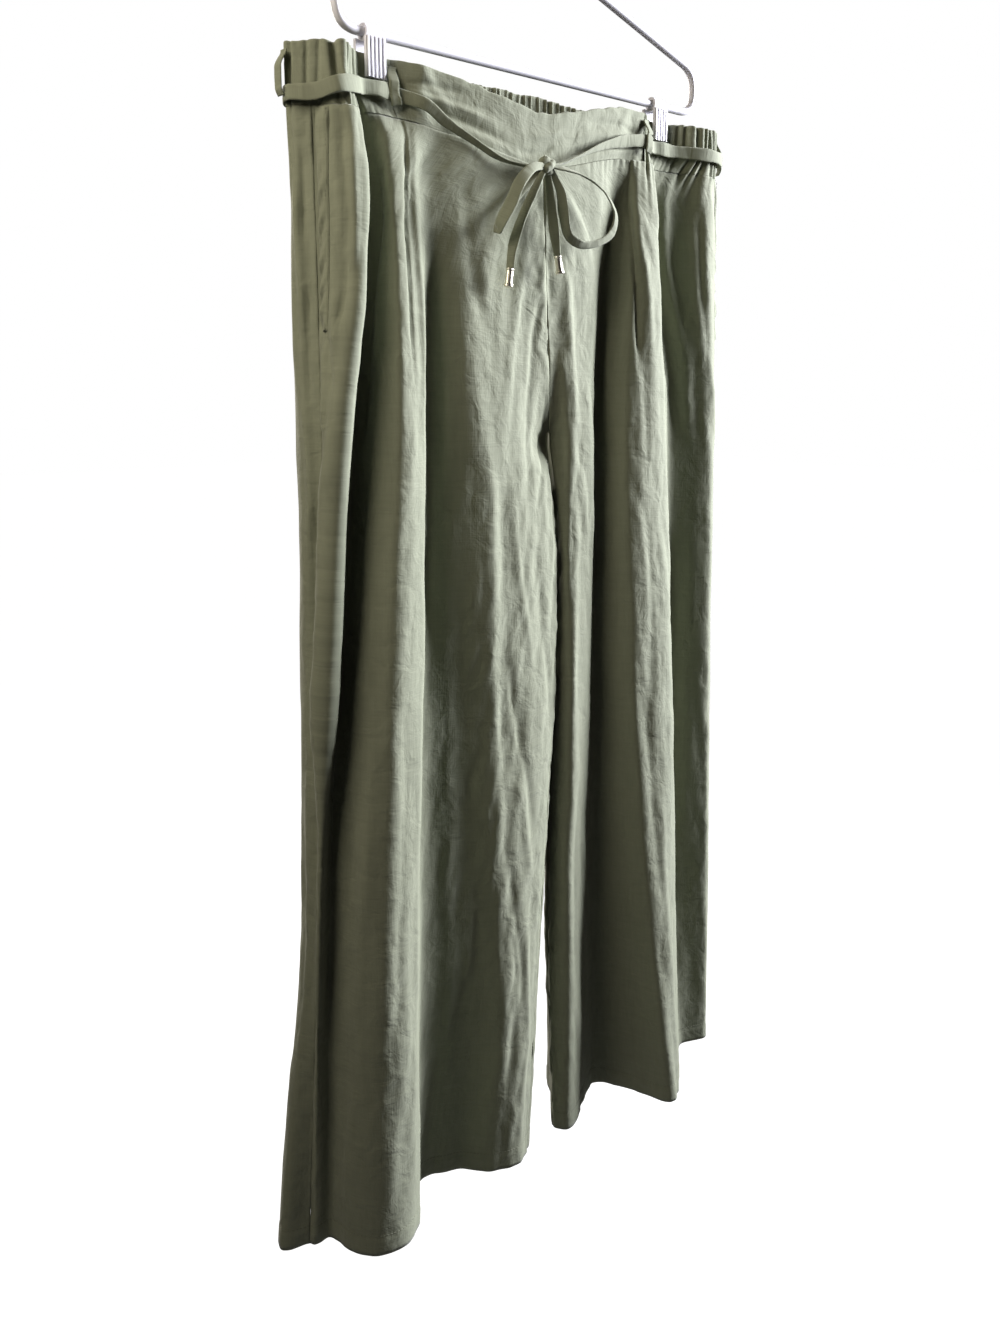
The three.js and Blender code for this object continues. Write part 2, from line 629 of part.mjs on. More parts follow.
function leaningStations(rows) {
  const points = rows.map((row) => place(row.x, row.out, row.down));
  const curve = new THREE.CatmullRomCurve3(points, false, 'centripetal');
  const front = new THREE.Vector3(0, -1, 0);
  const steps = (rows.length - 1) * STRIP_STEPS;
  const stations = [];
  for (let i = 0; i <= steps; i += 1) {
    const at = i / STRIP_STEPS;
    const k = Math.min(Math.floor(at), rows.length - 2);
    const mix = (key) => THREE.MathUtils.lerp(rows[k][key], rows[k + 1][key], at - k);
    const lean = THREE.MathUtils.degToRad(mix('lean'));
    const wide = mix('wide');
    const along = curve.getTangent(i / steps);
    const edge = front.clone().addScaledVector(along, -along.dot(front)).normalize();
    const face = along.clone().cross(edge);
    const across = edge.multiplyScalar(Math.cos(lean)).addScaledVector(face, Math.sin(lean));
    stations.push({ point: curve.getPoint(i / steps), across, wide });
  }
  return stations;
}

addCloth('bow_loop_right', stripGeometry(leaningStations(BOW_RIGHT), BELT_WIDTH, BELT_CLOTH));
addCloth('bow_loop_left', stripGeometry(leaningStations(BOW_LEFT), BELT_WIDTH, BELT_CLOTH));

const KNOT_SQUEEZE = [1, 0.85, 0.95];

function addKnot() {
  const geometry = new THREE.SphereGeometry(KNOT_RADIUS, 16, 10);
  geometry.scale(...KNOT_SQUEEZE);
  const knot = addCloth('belt_knot', geometry);
  knot.position.copy(place(KNOT.x, KNOT.out, KNOT.down));
}

addKnot();

// A tail ends in a metal tip: a barrel with a rim at each end. radius is a share of the tip's own.
const TAIL_WIDTH = BELT_WIDTH - 3;
const TIP_PROFILE = [
  { radius: 0, along: 0 },
  { radius: 0.92, along: 0 },
  { radius: 1, along: 1 },
  { radius: 0.84, along: 2 },
  { radius: 0.9, along: TIP_LENGTH - 2.6 },
  { radius: 1.1, along: TIP_LENGTH - 2 },
  { radius: 1.1, along: TIP_LENGTH - 0.6 },
  { radius: 0.95, along: TIP_LENGTH },
  { radius: 0, along: TIP_LENGTH },
];

function addTail(name, tipName, rows) {
  const stations = leaningStations(rows);
  addCloth(name, stripGeometry(stations, TAIL_WIDTH, BELT_CLOTH));
  const end = stations[stations.length - 1].point;
  const before = stations[stations.length - 2].point;
  const along = end.clone().sub(before).normalize();
  const profile = TIP_PROFILE.map((ring) => new THREE.Vector2(ring.radius * TIP_RADIUS, ring.along));
  const tip = addPiece(tipName, new THREE.LatheGeometry(profile, 16), METAL_COLOUR, 0.3, 1);
  tip.position.copy(end).addScaledVector(along, SEAM_GAP);
  tip.quaternion.setFromUnitVectors(new THREE.Vector3(0, 1, 0), along);
}

addTail('tail_right', 'tip_right', TAIL_RIGHT);
addTail('tail_left', 'tip_left', TAIL_LEFT);

// Belt loops stand over the belt and come down to the band above and below it.
const LOOP_ROWS = 8;
const LOOP_INSET = 0.5;
const LOOP_REST = (BAND_CLOTH + LOOP_CLOTH) / 2 + SEAM_GAP + GATHER_DEPTH * 1.3;
const LOOP_BRIDGE = { full: 7, none: 19 };

function buildLoop({ name, panel, x, over }) {
  const middle = lengthAt(panel, x);
  const grid = [];
  for (let i = 0; i <= LOOP_ROWS; i += 1) {
    const down = THREE.MathUtils.lerp(LOOP_INSET, BAND_HEIGHT - LOOP_INSET, i / LOOP_ROWS);
    const share = 1 - smoothRise(LOOP_BRIDGE.full, LOOP_BRIDGE.none, Math.abs(down - BELT_BACK_DOWN));
    const clear = THREE.MathUtils.lerp(LOOP_REST, over, share);
    const row = [-0.5, 0, 0.5].map((side) => movedOut(bandPoint(middle + side * LOOP_WIDTH, down), clear));
    grid.push(row);
  }
  addCloth(name, wallGeometry(grid, LOOP_CLOTH));
}

BELT_LOOPS.forEach(buildLoop);

// Pocket edges lie on the front panels, made from the panels' own points.
const POCKET_ROWS = 7;
const POCKET_COLUMNS = 3;
const POCKET_CLEAR = CLOTH + 3 * SEAM_GAP;

function buildPocketEdge({ name, panel, from, to }) {
  const grid = [];
  for (let i = 0; i <= POCKET_ROWS; i += 1) {
    const down = THREE.MathUtils.lerp(POCKET_TOP, POCKET_BOTTOM, i / POCKET_ROWS);
    const row = [];
    for (let j = 0; j <= POCKET_COLUMNS; j += 1) {
      const u = THREE.MathUtils.lerp(from, to, j / POCKET_COLUMNS);
      const spot = { point: panelPoint(panel, u, down), normal: panelNormal(panel, u, down) };
      row.push(movedOut(spot, POCKET_CLEAR));
    }
    grid.push(row);
  }
  addCloth(name, wallGeometry(grid, CLOTH));
}

POCKET_EDGES.forEach(buildPocketEdge);

// Hanger: one tube bent into bar, rounded ends and shoulders, closed by a neck block.
const END_RADIUS = 20;
const END_PULL = 14;
const SHOULDER_RISE = 4;
const NECK_Z = -104;
const NECK_HALF = 6;
const NECK_HEIGHT = 20;
const NECK_LIFT = 2;

function hangerPath() {
  const bend = HANGER_HALF_WIDTH - END_RADIUS;
  const tip = HANGER_HALF_WIDTH;
  const neckSide = NECK_HALF + 4 * SEAM_GAP;
  const middleZ = BAR_Z + END_RADIUS;
  const topZ = middleZ + END_RADIUS;
  const path = new THREE.CurvePath();
  for (const side of [-1, 1]) {
    const at = (x, z) => new THREE.Vector3(side * x, 0, z);
    const shoulderEnd = at(bend, topZ + SHOULDER_RISE);
    const shoulder = new THREE.LineCurve3(at(neckSide, NECK_Z), shoulderEnd);
    const upperBend = new THREE.CubicBezierCurve3(
      shoulderEnd,
      at(bend + END_PULL, topZ + SHOULDER_RISE / 10),
      at(tip, middleZ + END_PULL),
      at(tip, middleZ),
    );
    const lowerBend = new THREE.CubicBezierCurve3(
      at(tip, middleZ),
      at(tip, middleZ - END_PULL),
      at(bend + END_PULL, BAR_Z),
      at(bend, BAR_Z),
    );
    const bar = new THREE.LineCurve3(at(bend, BAR_Z), at(0, BAR_Z));
    const pieces = [shoulder, upperBend, lowerBend, bar];
    if (side < 0) pieces.forEach((piece) => path.add(piece));
    else pieces.reverse().forEach((piece) => path.add(reversed(piece)));
  }
  return path;
}

function reversed(curve) {
  if (curve.isLineCurve3) return new THREE.LineCurve3(curve.v2, curve.v1);
  return new THREE.CubicBezierCurve3(curve.v3, curve.v2, curve.v1, curve.v0);
}

function roundSection(radius, sides) {
  const points = [];
  for (let i = 0; i < sides; i += 1) {
    const angle = 2 * Math.PI * i / sides;
    points.push(new THREE.Vector2(radius * Math.cos(angle), radius * Math.sin(angle)));
  }
  return new THREE.Shape(points);
}

const tube = (path, radius, steps) => new THREE.ExtrudeGeometry(roundSection(radius, 8), {
  steps, extrudePath: path, bevelEnabled: false,
});

addPiece('hanger_frame', tube(hangerPath(), BAR_RADIUS, 72), PLASTIC_COLOUR, 0.45, 0);

function addNeck() {
  const block = new THREE.CylinderGeometry(NECK_HALF, NECK_HALF, NECK_HEIGHT, 16);
  const neck = addPiece('hanger_neck', block, PLASTIC_COLOUR, 0.45, 0);
  neck.rotation.x = Math.PI / 2;
  neck.position.set(0, 0, NECK_Z + NECK_LIFT);
}

addNeck();

// The hook's wire passes over the rail with its underside at the origin.
const HOOK_WIRE = 1.6;
const HOOK_BEND = 20;
const HOOK_STEM = 46;
const HOOK_DEGREES = [222, 195, 165, 135, 112, 90, 68, 45, 15, -15, -35];

function addHook() {
  const centreZ = HOOK_WIRE - HOOK_BEND;
  const stemBottom = NECK_Z + NECK_LIFT + NECK_HEIGHT / 2 + SEAM_GAP;
  const points = [new THREE.Vector3(0, 0, stemBottom), new THREE.Vector3(0, 0, centreZ - HOOK_STEM)];
  for (const degrees of HOOK_DEGREES) {
    const angle = THREE.MathUtils.degToRad(degrees);
    const x = HOOK_BEND * Math.cos(angle);
    points.push(new THREE.Vector3(x, 0, centreZ + HOOK_BEND * Math.sin(angle)));
  }
  const path = new THREE.CatmullRomCurve3(points, false, 'centripetal');
  addPiece('hanger_hook', tube(path, HOOK_WIRE, 32), METAL_COLOUR, 0.3, 1);
}

addHook();

// Clips: a ribbed jaw in front, a plain one behind, and a sleeve that slides on the bar.
const JAW_THICKNESS = 3;
const JAW_TOP = 12;
const JAW_BOTTOM = -17;
const JAW_INNER = HALF_PINCH + BAND_CLOTH / 2 + 0.7;
const RIBS = 5;
const RIB_DEPTH = 0.9;
const RIB_HALF_FOOT = 0.28 * CLIP_WIDTH / RIBS;
const RIB_HALF_TOP = 0.2 * CLIP_WIDTH / RIBS;
const SLEEVE_RADIUS = 6.3;
const SLEEVE_LENGTH = CLIP_WIDTH - 5;

function jawShape(ribbed) {
  const half = CLIP_WIDTH / 2;
  const back = JAW_INNER;
  const front = JAW_INNER + JAW_THICKNESS;
  const corners = [[-half, back], [half, back], [half, front]];
  for (let i = ribbed ? RIBS - 1 : -1; i >= 0; i -= 1) {
    const middle = (i - (RIBS - 1) / 2) * CLIP_WIDTH / RIBS;
    corners.push([middle + RIB_HALF_FOOT, front]);
    corners.push([middle + RIB_HALF_TOP, front + RIB_DEPTH]);
    corners.push([middle - RIB_HALF_TOP, front + RIB_DEPTH]);
    corners.push([middle - RIB_HALF_FOOT, front]);
  }
  corners.push([-half, front]);
  return new THREE.Shape(corners.map(([x, y]) => new THREE.Vector2(x, y)));
}

function addClip(name, x) {
  const depth = JAW_TOP - JAW_BOTTOM;
  for (const { part, face, ribbed } of [
    { part: 'front_jaw', face: 1, ribbed: true },
    { part: 'back_jaw', face: -1, ribbed: false },
  ]) {
    const geometry = new THREE.ExtrudeGeometry(jawShape(ribbed), { depth, bevelEnabled: false });
    const jaw = addPiece(`${name}_${part}`, geometry, PLASTIC_COLOUR, 0.35, 0);
    jaw.rotation.z = face > 0 ? Math.PI : 0;
    jaw.position.set(x, 0, WAIST_Z + JAW_BOTTOM);
  }
  const ring = new THREE.Shape();
  ring.absarc(0, 0, SLEEVE_RADIUS, 0, 2 * Math.PI, false);
  const hole = new THREE.Path();
  hole.absarc(0, 0, BAR_RADIUS + SEAM_GAP, 0, 2 * Math.PI, true);
  ring.holes.push(hole);
  const sleeve = new THREE.ExtrudeGeometry(ring, {
    depth: SLEEVE_LENGTH, bevelEnabled: false, curveSegments: 10,
  });
  sleeve.translate(0, 0, -SLEEVE_LENGTH / 2);
  sleeve.rotateY(Math.PI / 2);
  addPiece(`${name}_sleeve`, sleeve, PLASTIC_COLOUR, 0.35, 0).position.set(x, 0, BAR_Z);
}

CLIP_X.forEach((x) => addClip(x < 0 ? 'clip_right' : 'clip_left', x));

export default garment;
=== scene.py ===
"""Wide-leg linen trousers with a tie belt, hung by two clips from a tube hanger.

Cloth, gathers, creases, stitching, belt and hanger are built from named sizes in the part's frame.
"""
import math

import bpy
import numpy as np
from mathutils import Matrix, Vector


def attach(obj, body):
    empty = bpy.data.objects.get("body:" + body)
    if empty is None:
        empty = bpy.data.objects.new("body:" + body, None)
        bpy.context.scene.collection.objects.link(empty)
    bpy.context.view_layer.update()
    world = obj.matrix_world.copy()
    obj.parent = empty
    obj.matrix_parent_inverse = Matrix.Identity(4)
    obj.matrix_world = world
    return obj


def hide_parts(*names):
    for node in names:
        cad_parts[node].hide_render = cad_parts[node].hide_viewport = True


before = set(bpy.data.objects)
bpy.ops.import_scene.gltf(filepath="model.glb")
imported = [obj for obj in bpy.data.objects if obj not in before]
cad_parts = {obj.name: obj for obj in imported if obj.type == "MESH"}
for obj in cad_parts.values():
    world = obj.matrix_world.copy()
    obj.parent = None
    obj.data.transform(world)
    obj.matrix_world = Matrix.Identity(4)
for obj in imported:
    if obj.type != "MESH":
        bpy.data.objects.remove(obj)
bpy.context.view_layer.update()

MM = 0.001

# Driving sizes in millimetres, in the part's frame: +Z up, front to -Y, right leg on -X.
WAIST_Z = -220.0
OUTSEAM = 1040.0
BAND_HEIGHT = 44.0
CROTCH_DOWN = 292.0
LEG_START_DOWN = CROTCH_DOWN + 12
CLOTH = 1.2
BAND_CLOTH = 2.4
SEAM_GAP = 0.3
BELT_WIDTH = 12.0
BELT_DOWN = 25.5
CLIP_WIDTH = 19.0
CLIP_X = (-185.0, 160.0)
HALF_PINCH = 3.4
PRESS_BESIDE = (0.6 * CLIP_WIDTH, 2.1 * CLIP_WIDTH)
PRESS_BELOW = (24.0, 62.0)

# Heights down from the waist's top edge at which the fold tables give (x, out).
LEVELS = np.array([20.0, 250.0, 650.0, OUTSEAM])

RIGHT_SIDE_SEAM = ("side seam", (-244, 4), (-244, 3), (-261, -2), (-277, -18), 0)
LEFT_SIDE_SEAM = ("side seam", (250, 2), (262, 1), (282, 0), (300, 2), 0)

# One row per fold line, from the side seam to the middle: name, then (x, out) at the waist, hip,
# knee and hem, out being the distance in front of the hanging plane, then the waist's sag there.
FRONT_RIGHT_FOLDS = (
    RIGHT_SIDE_SEAM,
    ("pocket bulge", (-226, 22), (-240, 29), (-264, 6), (-275, -13), 0),
    ("pocket recess", (-206, 12), (-207, 0), (-243, -9), (-259, -12), 0),
    ("crest flank", (-199, 15), (-203, 24), (-236, 18), (-256, 10), 0),
    ("crest", (-184, 15), (-193, 42), (-219, 42), (-238, 38), 0),
    ("crest shoulder", (-165, 16), (-167, 37), (-184, 38), (-202, 43), 1),
    ("pleat valley", (-138, 18), (-150, 19), (-152, 8), (-142, -14), 4),
    ("thigh flat", (-104, 23), (-117, 34), (-98, 25), (-104, -2), 9),
    ("inner ridge", (-62, 28), (-62, 37), (-58, 35), (-70, 31), 17),
)
# Where a fold bends between those levels: rows of (down, x, out) by panel edge and fold.
BENDS = {
    ("pocket bulge", -226): ((62, -221, 28), (100, -222, 34), (165, -228, 36)),
    ("pocket recess", -206): ((62, -200, 4), (100, -199, -2), (165, -201, -2)),
    ("crest flank", -199): ((62, -195, 13), (100, -194, 14), (165, -197, 19)),
    ("crest flank", 98): ((75, 95, 24), (130, 87, 24)),
    ("crest", 112): ((75, 100, 31), (130, 93, 40)),
    ("crest shoulder", 140): ((75, 125, 32), (130, 122, 40)),
    ("crest back", 172): ((75, 138, 4), (130, 138, 2), (190, 146, 10)),
    ("pocket recess", 206): ((75, 178, 5), (130, 176, 3)),
    ("pocket bulge", 235): ((75, 220, 24), (130, 218, 28)),
}
FRONT_LEFT_FOLDS = (
    LEFT_SIDE_SEAM,
    ("pocket bulge", (235, 16), (232, 26), (260, 24), (286, 20), 0),
    ("pocket recess", (206, 20), (190, 6), (215, -2), (250, 8), 0),
    ("crest back", (172, 13), (158, 22), (190, 22), (222, 26), 0),
    ("crest shoulder", (140, 16), (128, 46), (160, 51), (188, 55), 0),
    ("crest", (112, 20), (82, 43), (108, 51), (148, 76), 0),
    ("crest flank", (98, 21), (74, 28), (99, 30), (136, 30), 0),
    ("pleat valley", (82, 23), (64, 13), (83, 8), (114, -8), 1),
    ("thigh flat", (50, 26), (46, 31), (53, 22), (78, 5), 7),
    ("inner ridge", (12, 29), (6, 36), (21, 31), (27, 29), 16),
)
BACK_RIGHT_FOLDS = (
    RIGHT_SIDE_SEAM,
    ("side roll", (-254, -11), (-252, -18), (-260, -20), (-301, -29), 0),
    ("outer ridge", (-224, -26), (-230, -42), (-240, -52), (-268, -66), 0),
    ("outer valley", (-184, -20), (-190, -24), (-194, -22), (-208, -30), 0),
    ("middle ridge", (-138, -23), (-144, -46), (-146, -58), (-154, -72), -1),
    ("middle valley", (-94, -25), (-98, -27), (-100, -20), (-104, -28), -4),
    ("inner ridge", (-50, -28), (-52, -46), (-48, -50), (-56, -58), -6),
    ("inner roll", (-22, -29), (-24, -44), (16, -6), (-8, -10), -7),
)
BACK_LEFT_FOLDS = (
    LEFT_SIDE_SEAM,
    ("side roll", (249, -15), (272, -16), (290, -20), (311, -22), 0),
    ("outer ridge", (224, -25), (244, -38), (262, -50), (284, -60), 0),
    ("outer valley", (178, -18), (194, -22), (212, -26), (228, -24), 0),
    ("middle ridge", (130, -20), (146, -44), (162, -54), (180, -66), -1),
    ("middle valley", (92, -25), (100, -24), (118, -26), (136, -36), -4),
    ("inner ridge", (52, -28), (54, -46), (74, -52), (94, -60), -6),
    ("inner roll", (24, -29), (24, -42), (40, -20), (54, -20), -7),
)

# Where the panels meet in the middle: rows of (down, x, out).
CROTCH_STEP = CLOTH / 2 + SEAM_GAP / 2 + 0.1
CROTCH_OUT = 22
SPLIT_FADE = 60
FRONT_CENTRE = ((0, -26, 29), (170, -22, 34), (236, -15, 31),
                (CROTCH_DOWN, -6, CROTCH_OUT + CROTCH_STEP))
BACK_CENTRE = ((0, 0, -29), (170, -1, -42), (230, -3, -36),
               (CROTCH_DOWN, -6, CROTCH_OUT - CROTCH_STEP))
INSEAM_RIGHT = ((LEG_START_DOWN, -7.2, CROTCH_OUT), (350, -2, 24), (410, 3, 25), (520, 4, 26),
                (650, -7, 27), (OUTSEAM, -31, 24))
INSEAM_LEFT = ((LEG_START_DOWN, -4.8, CROTCH_OUT), (350, 3, 24), (410, 9, 24), (520, 12, 19),
               (650, 13, 11), (820, 15, 9), (OUTSEAM, 20, 14))

# Each leg panel: folds, centre line, inseam, side (right -1), face (front 1) and waist's sag.
PANELS = {
    "front_right": dict(folds=FRONT_RIGHT_FOLDS, centre=FRONT_CENTRE, inseam=INSEAM_RIGHT,
                        side=-1, face=1, drop=22),
    "front_left": dict(folds=FRONT_LEFT_FOLDS, centre=FRONT_CENTRE, inseam=INSEAM_LEFT,
                       side=1, face=1, drop=22),
    "back_right": dict(folds=BACK_RIGHT_FOLDS, centre=BACK_CENTRE, inseam=INSEAM_RIGHT,
                       side=-1, face=-1, drop=-7),
    "back_left": dict(folds=BACK_LEFT_FOLDS, centre=BACK_CENTRE, inseam=INSEAM_LEFT,
                      side=1, face=-1, drop=-7),
}


def neighbour(side, face):
    """The fold lines of the panel on a side and face."""
    return next(panel["folds"] for panel in PANELS.values()
                if (panel["side"], panel["face"]) == (side, face))


def smooth(low, high, value):
    t = np.clip((value - low) / (high - low), 0, 1)
    return t * t * (3 - 2 * t)


def bell(value):
    return np.exp(-value ** 2)


def through(stations, values, at):
    """A smooth curve through the stations' values that never overshoots them."""
    stations = np.asarray(stations, float)
    values = np.asarray(values, float)
    at = np.clip(at, stations[0], stations[-1])
    steps = np.diff(values) / np.diff(stations)
    slopes = np.concatenate([steps[:1], np.zeros(len(values) - 2), steps[-1:]])
    for i in range(1, len(values) - 1):
        if steps[i - 1] * steps[i] > 0:
            slopes[i] = 2 / (1 / steps[i - 1] + 1 / steps[i])
    k = np.clip(np.searchsorted(stations, at, side="right") - 1, 0, len(values) - 2)
    span = stations[k + 1] - stations[k]
    t = (at - stations[k]) / span
    rise = t * t * (3 - 2 * t)
    early = t * (1 - t) ** 2 * span * slopes[k]
    late = t * t * (t - 1) * span * slopes[k + 1]
    return values[k] + (values[k + 1] - values[k]) * rise + early + late


def place(x, out, down):
    x, out, down = np.broadcast_arrays(x, out, down)
    return np.stack([x, -out, WAIST_Z - down], axis=-1).astype(float)


def sag_left(down):
    return 1 - smooth(BAND_HEIGHT, CROTCH_DOWN, down)


def seam_line(rows, down, drop):
    rows = np.array(rows, float)
    x = through(rows[:, 0], rows[:, 1], down)
    out = through(rows[:, 0], rows[:, 2], down)
    return place(x, out, down + drop * sag_left(down))


def fold_line(fold, down):
    rows = [(level, *spot) for level, spot in zip(LEVELS, fold[1:5])]
    bends = BENDS.get((fold[0], fold[1][0]), ())
    return seam_line(sorted(rows + list(bends)), down, fold[5])


def inner_line(panel, down):
    upper = seam_line(panel["centre"], down, panel["drop"])
    lower = seam_line(panel["inseam"], down, panel["drop"])
    return np.where((down <= CROTCH_DOWN)[..., None], upper, lower)


def catmull(points, at):
    """Centripetal Catmull-Rom through points (K, ..., 3) at the index positions at (U,)."""
    k = np.clip(np.floor(at).astype(int), 1, len(points) - 3)
    w = (at - k).reshape((-1,) + (1,) * (points.ndim - 1))
    p0, p1, p2, p3 = points[k - 1], points[k], points[k + 1], points[k + 2]

    def gap(a, b):
        return np.maximum(np.linalg.norm(a - b, axis=-1, keepdims=True), 1e-6) ** 0.5

    d0, d1, d2 = gap(p0, p1), gap(p1, p2), gap(p2, p3)
    m1 = ((p1 - p0) / d0 - (p2 - p0) / (d0 + d1) + (p2 - p1) / d1) * d1
    m2 = ((p2 - p1) / d1 - (p3 - p1) / (d1 + d2) + (p3 - p2) / d2) * d1
    w2, w3 = w * w, w * w * w
    ends = (2 * w3 - 3 * w2 + 1) * p1 + (w3 - 2 * w2 + w) * m1
    return ends + (3 * w2 - 2 * w3) * p2 + (w3 - w2) * m2


def pinch(x, down):
    """How far the clips press front and back together at a place, 0 to 1."""
    share = 0
    for clip in CLIP_X:
        share = np.maximum(share, 1 - smooth(*PRESS_BESIDE, np.abs(x - clip)))
    return share * (1 - smooth(*PRESS_BELOW, down))


def surface(name, u, down):
    """Points of a panel's middle surface: u (U,) counts folds from the side seam, down (R,)."""
    panel = PANELS[name]
    across = neighbour(-panel["side"], panel["face"])
    behind = neighbour(panel["side"], -panel["face"])
    rows = [fold_line(behind[1], down)]
    rows += [fold_line(fold, down) for fold in panel["folds"]]
    rows.append(inner_line(panel, down))
    split = smooth(CROTCH_DOWN, LEG_START_DOWN + SPLIT_FADE, down)[:, None]
    rows.append(fold_line(across[-1], down) * (1 - split) + fold_line(behind[-1], down) * split)
    points = catmull(np.array(rows), 1 + np.asarray(u, float))
    share = pinch(points[..., 0], down[None, :])
    points[..., 1] = points[..., 1] * (1 - share) - panel["face"] * HALF_PINCH * share
    return points


def unit(v):
    return v / np.maximum(np.linalg.norm(v, axis=-1, keepdims=True), 1e-9)


def grid_normals(points, sign):
    along = np.gradient(points, axis=0)
    fall = np.gradient(points, axis=1)
    return unit(np.cross(along, fall)) * sign


def winding(name):
    """1 where a panel's grid turns outward as it runs, else -1."""
    return PANELS[name]["side"] * PANELS[name]["face"]


def run_along(points):
    """Lengths along the first axis of points, from 0."""
    steps = np.linalg.norm(np.diff(points, axis=0), axis=-1)
    return np.concatenate([np.zeros((1,) + steps.shape[1:]), np.cumsum(steps, axis=0)])


def between(at, stations, values):
    """What a line of values (N, 3) is at the places at."""
    return np.stack([np.interp(at, stations, values[:, k]) for k in range(3)], -1)


# Uneven values without a random generator

def chance(*keys):
    """A value from 0 to 1 that is fixed for its keys."""
    total = sum(np.asarray(key, float) * step for key, step in zip(keys, (127.1, 311.7, 74.7)))
    value = np.sin(total) * 43758.5453
    return value - np.floor(value)


def noise(x, y, seed):
    """Soft value noise from -1 to 1 on a unit lattice."""
    i, j = np.floor(x), np.floor(y)
    fx, fy = x - i, y - j
    fx = fx * fx * fx * (fx * (fx * 6 - 15) + 10)
    fy = fy * fy * fy * (fy * (fy * 6 - 15) + 10)
    low = chance(i, j, seed) * (1 - fx) + chance(i + 1, j, seed) * fx
    high = chance(i, j + 1, seed) * (1 - fx) + chance(i + 1, j + 1, seed) * fx
    return 2 * (low * (1 - fy) + high * fy) - 1


# Meshes

def new_mesh(name, points, faces, uv=None):
    """A mesh object from points and weave coordinates (across, down) in millimetres."""
    mesh = bpy.data.meshes.new(name)
    places = (np.asarray(points).reshape(-1, 3) * MM).tolist()
    mesh.from_pydata(places, [], [tuple(face) for face in faces])
    if uv is not None:
        layer = mesh.uv_layers.new(name="weave")
        index = np.empty(len(mesh.loops), dtype=np.int32)
        mesh.loops.foreach_get("vertex_index", index)
        pairs = np.stack(np.broadcast_arrays(*uv), -1).reshape(-1, 2)
        layer.data.foreach_set("uv", (pairs[index] * MM).ravel())
    mesh.polygons.foreach_set("use_smooth", np.ones(len(mesh.polygons), bool))
    mesh.update()
    obj = bpy.data.objects.new(name, mesh)
    bpy.context.scene.collection.objects.link(obj)
    return obj


def grid_faces(columns, rows, flip=False, closed=False):
    """Quads of a (columns, rows) grid of points; closed joins the last row to the first."""
    span = rows if closed else rows - 1
    i, j = np.meshgrid(np.arange(columns - 1), np.arange(span), indexing="ij")
    k = (j + 1) % rows
    quads = np.stack([i * rows + j, i * rows + k, (i + 1) * rows + k, (i + 1) * rows + j], -1)
    quads = quads.reshape(-1, 4)
    return quads[:, ::-1] if flip else quads


def tube_faces(rings, sides):
    """Faces of a closed tube from its rings of points, both ends capped."""
    faces = grid_faces(rings, sides, closed=True).tolist()
    return faces + [list(range(sides))[::-1], [(rings - 1) * sides + k for k in range(sides)]]


def finish_piece(obj, made_of, slot, *nodes):
    obj.data.materials.append(made_of)
    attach(obj, "root")
    if nodes:
        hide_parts(*nodes)
    return obj


def cloth_piece(node, points, faces, uv, single=False):
    """A linen piece that stands for a node; a single sheet gets its thickness here."""
    obj = new_mesh(node + "_cloth", points, faces, uv)
    if single:
        solid = obj.modifiers.new("cloth", "SOLIDIFY")
        solid.thickness = SHELL * MM
        solid.offset = 0
    return finish_piece(obj, LINEN, "cloth", node)


# Waist round, measured along the middle of the band as the belt and gathers need it

# Panels in order round the waist, and whether their folds are counted that way.
ROUND_ORDER = (("front_right", True), ("front_left", False),
               ("back_left", True), ("back_right", False))
ROUND_STEPS = 60


def measure_round():
    marks = {}
    length = 0.0
    before = None
    for name, onward in ROUND_ORDER:
        u = np.linspace(0, len(PANELS[name]["folds"]), ROUND_STEPS + 1)
        if not onward:
            u = u[::-1]
        points = surface(name, u, np.array([BAND_HEIGHT / 2]))[:, 0]
        if before is not None:
            length += np.linalg.norm(points[0] - before)
        lengths = length + run_along(points)
        marks[name] = (u, lengths, points[:, 0])
        length, before = lengths[-1], points[-1]
    return marks, length


ROUND, ROUND_LENGTH = measure_round()


def length_at(name, x):
    u, lengths, xs = ROUND[name]
    return lengths[np.argmin(np.abs(xs - x))]


def length_of(name, u):
    us, lengths, _ = ROUND[name]
    order = np.argsort(us)
    return np.interp(u, us[order], lengths[order])


def round_grid(lengths, down):
    """Middle points and outward normals (L, R, 3) round the waist."""
    wrapped = np.mod(lengths, ROUND_LENGTH)
    points = np.zeros((len(wrapped), len(down), 3))
    for name, _ in ROUND_ORDER:
        u, marks, _ = ROUND[name]
        inside = (wrapped >= marks[0] - 1e-9) & (wrapped <= marks[-1] + 1e-9)
        if inside.any():
            points[inside] = surface(name, np.interp(wrapped[inside], marks, u), down)
    return points, grid_normals(points, -1)


FRONT_LOOP_X = (-168, 121)
FRONT_BAND_FROM = length_at("front_right", FRONT_LOOP_X[0])
FRONT_BAND_TO = length_at("front_left", FRONT_LOOP_X[1])
ELASTIC_FROM = FRONT_BAND_TO
ELASTIC_TO = FRONT_BAND_FROM + ROUND_LENGTH


# Three more gathers beside the right front loop, deep and slanted: x, depth and slant.
DEEP_GATHERS = ((-231, 4.2, 7), (-219, 5.6, 10), (-206, 5.2, 9))
SHORT_GATHERS_X = (38, 118)


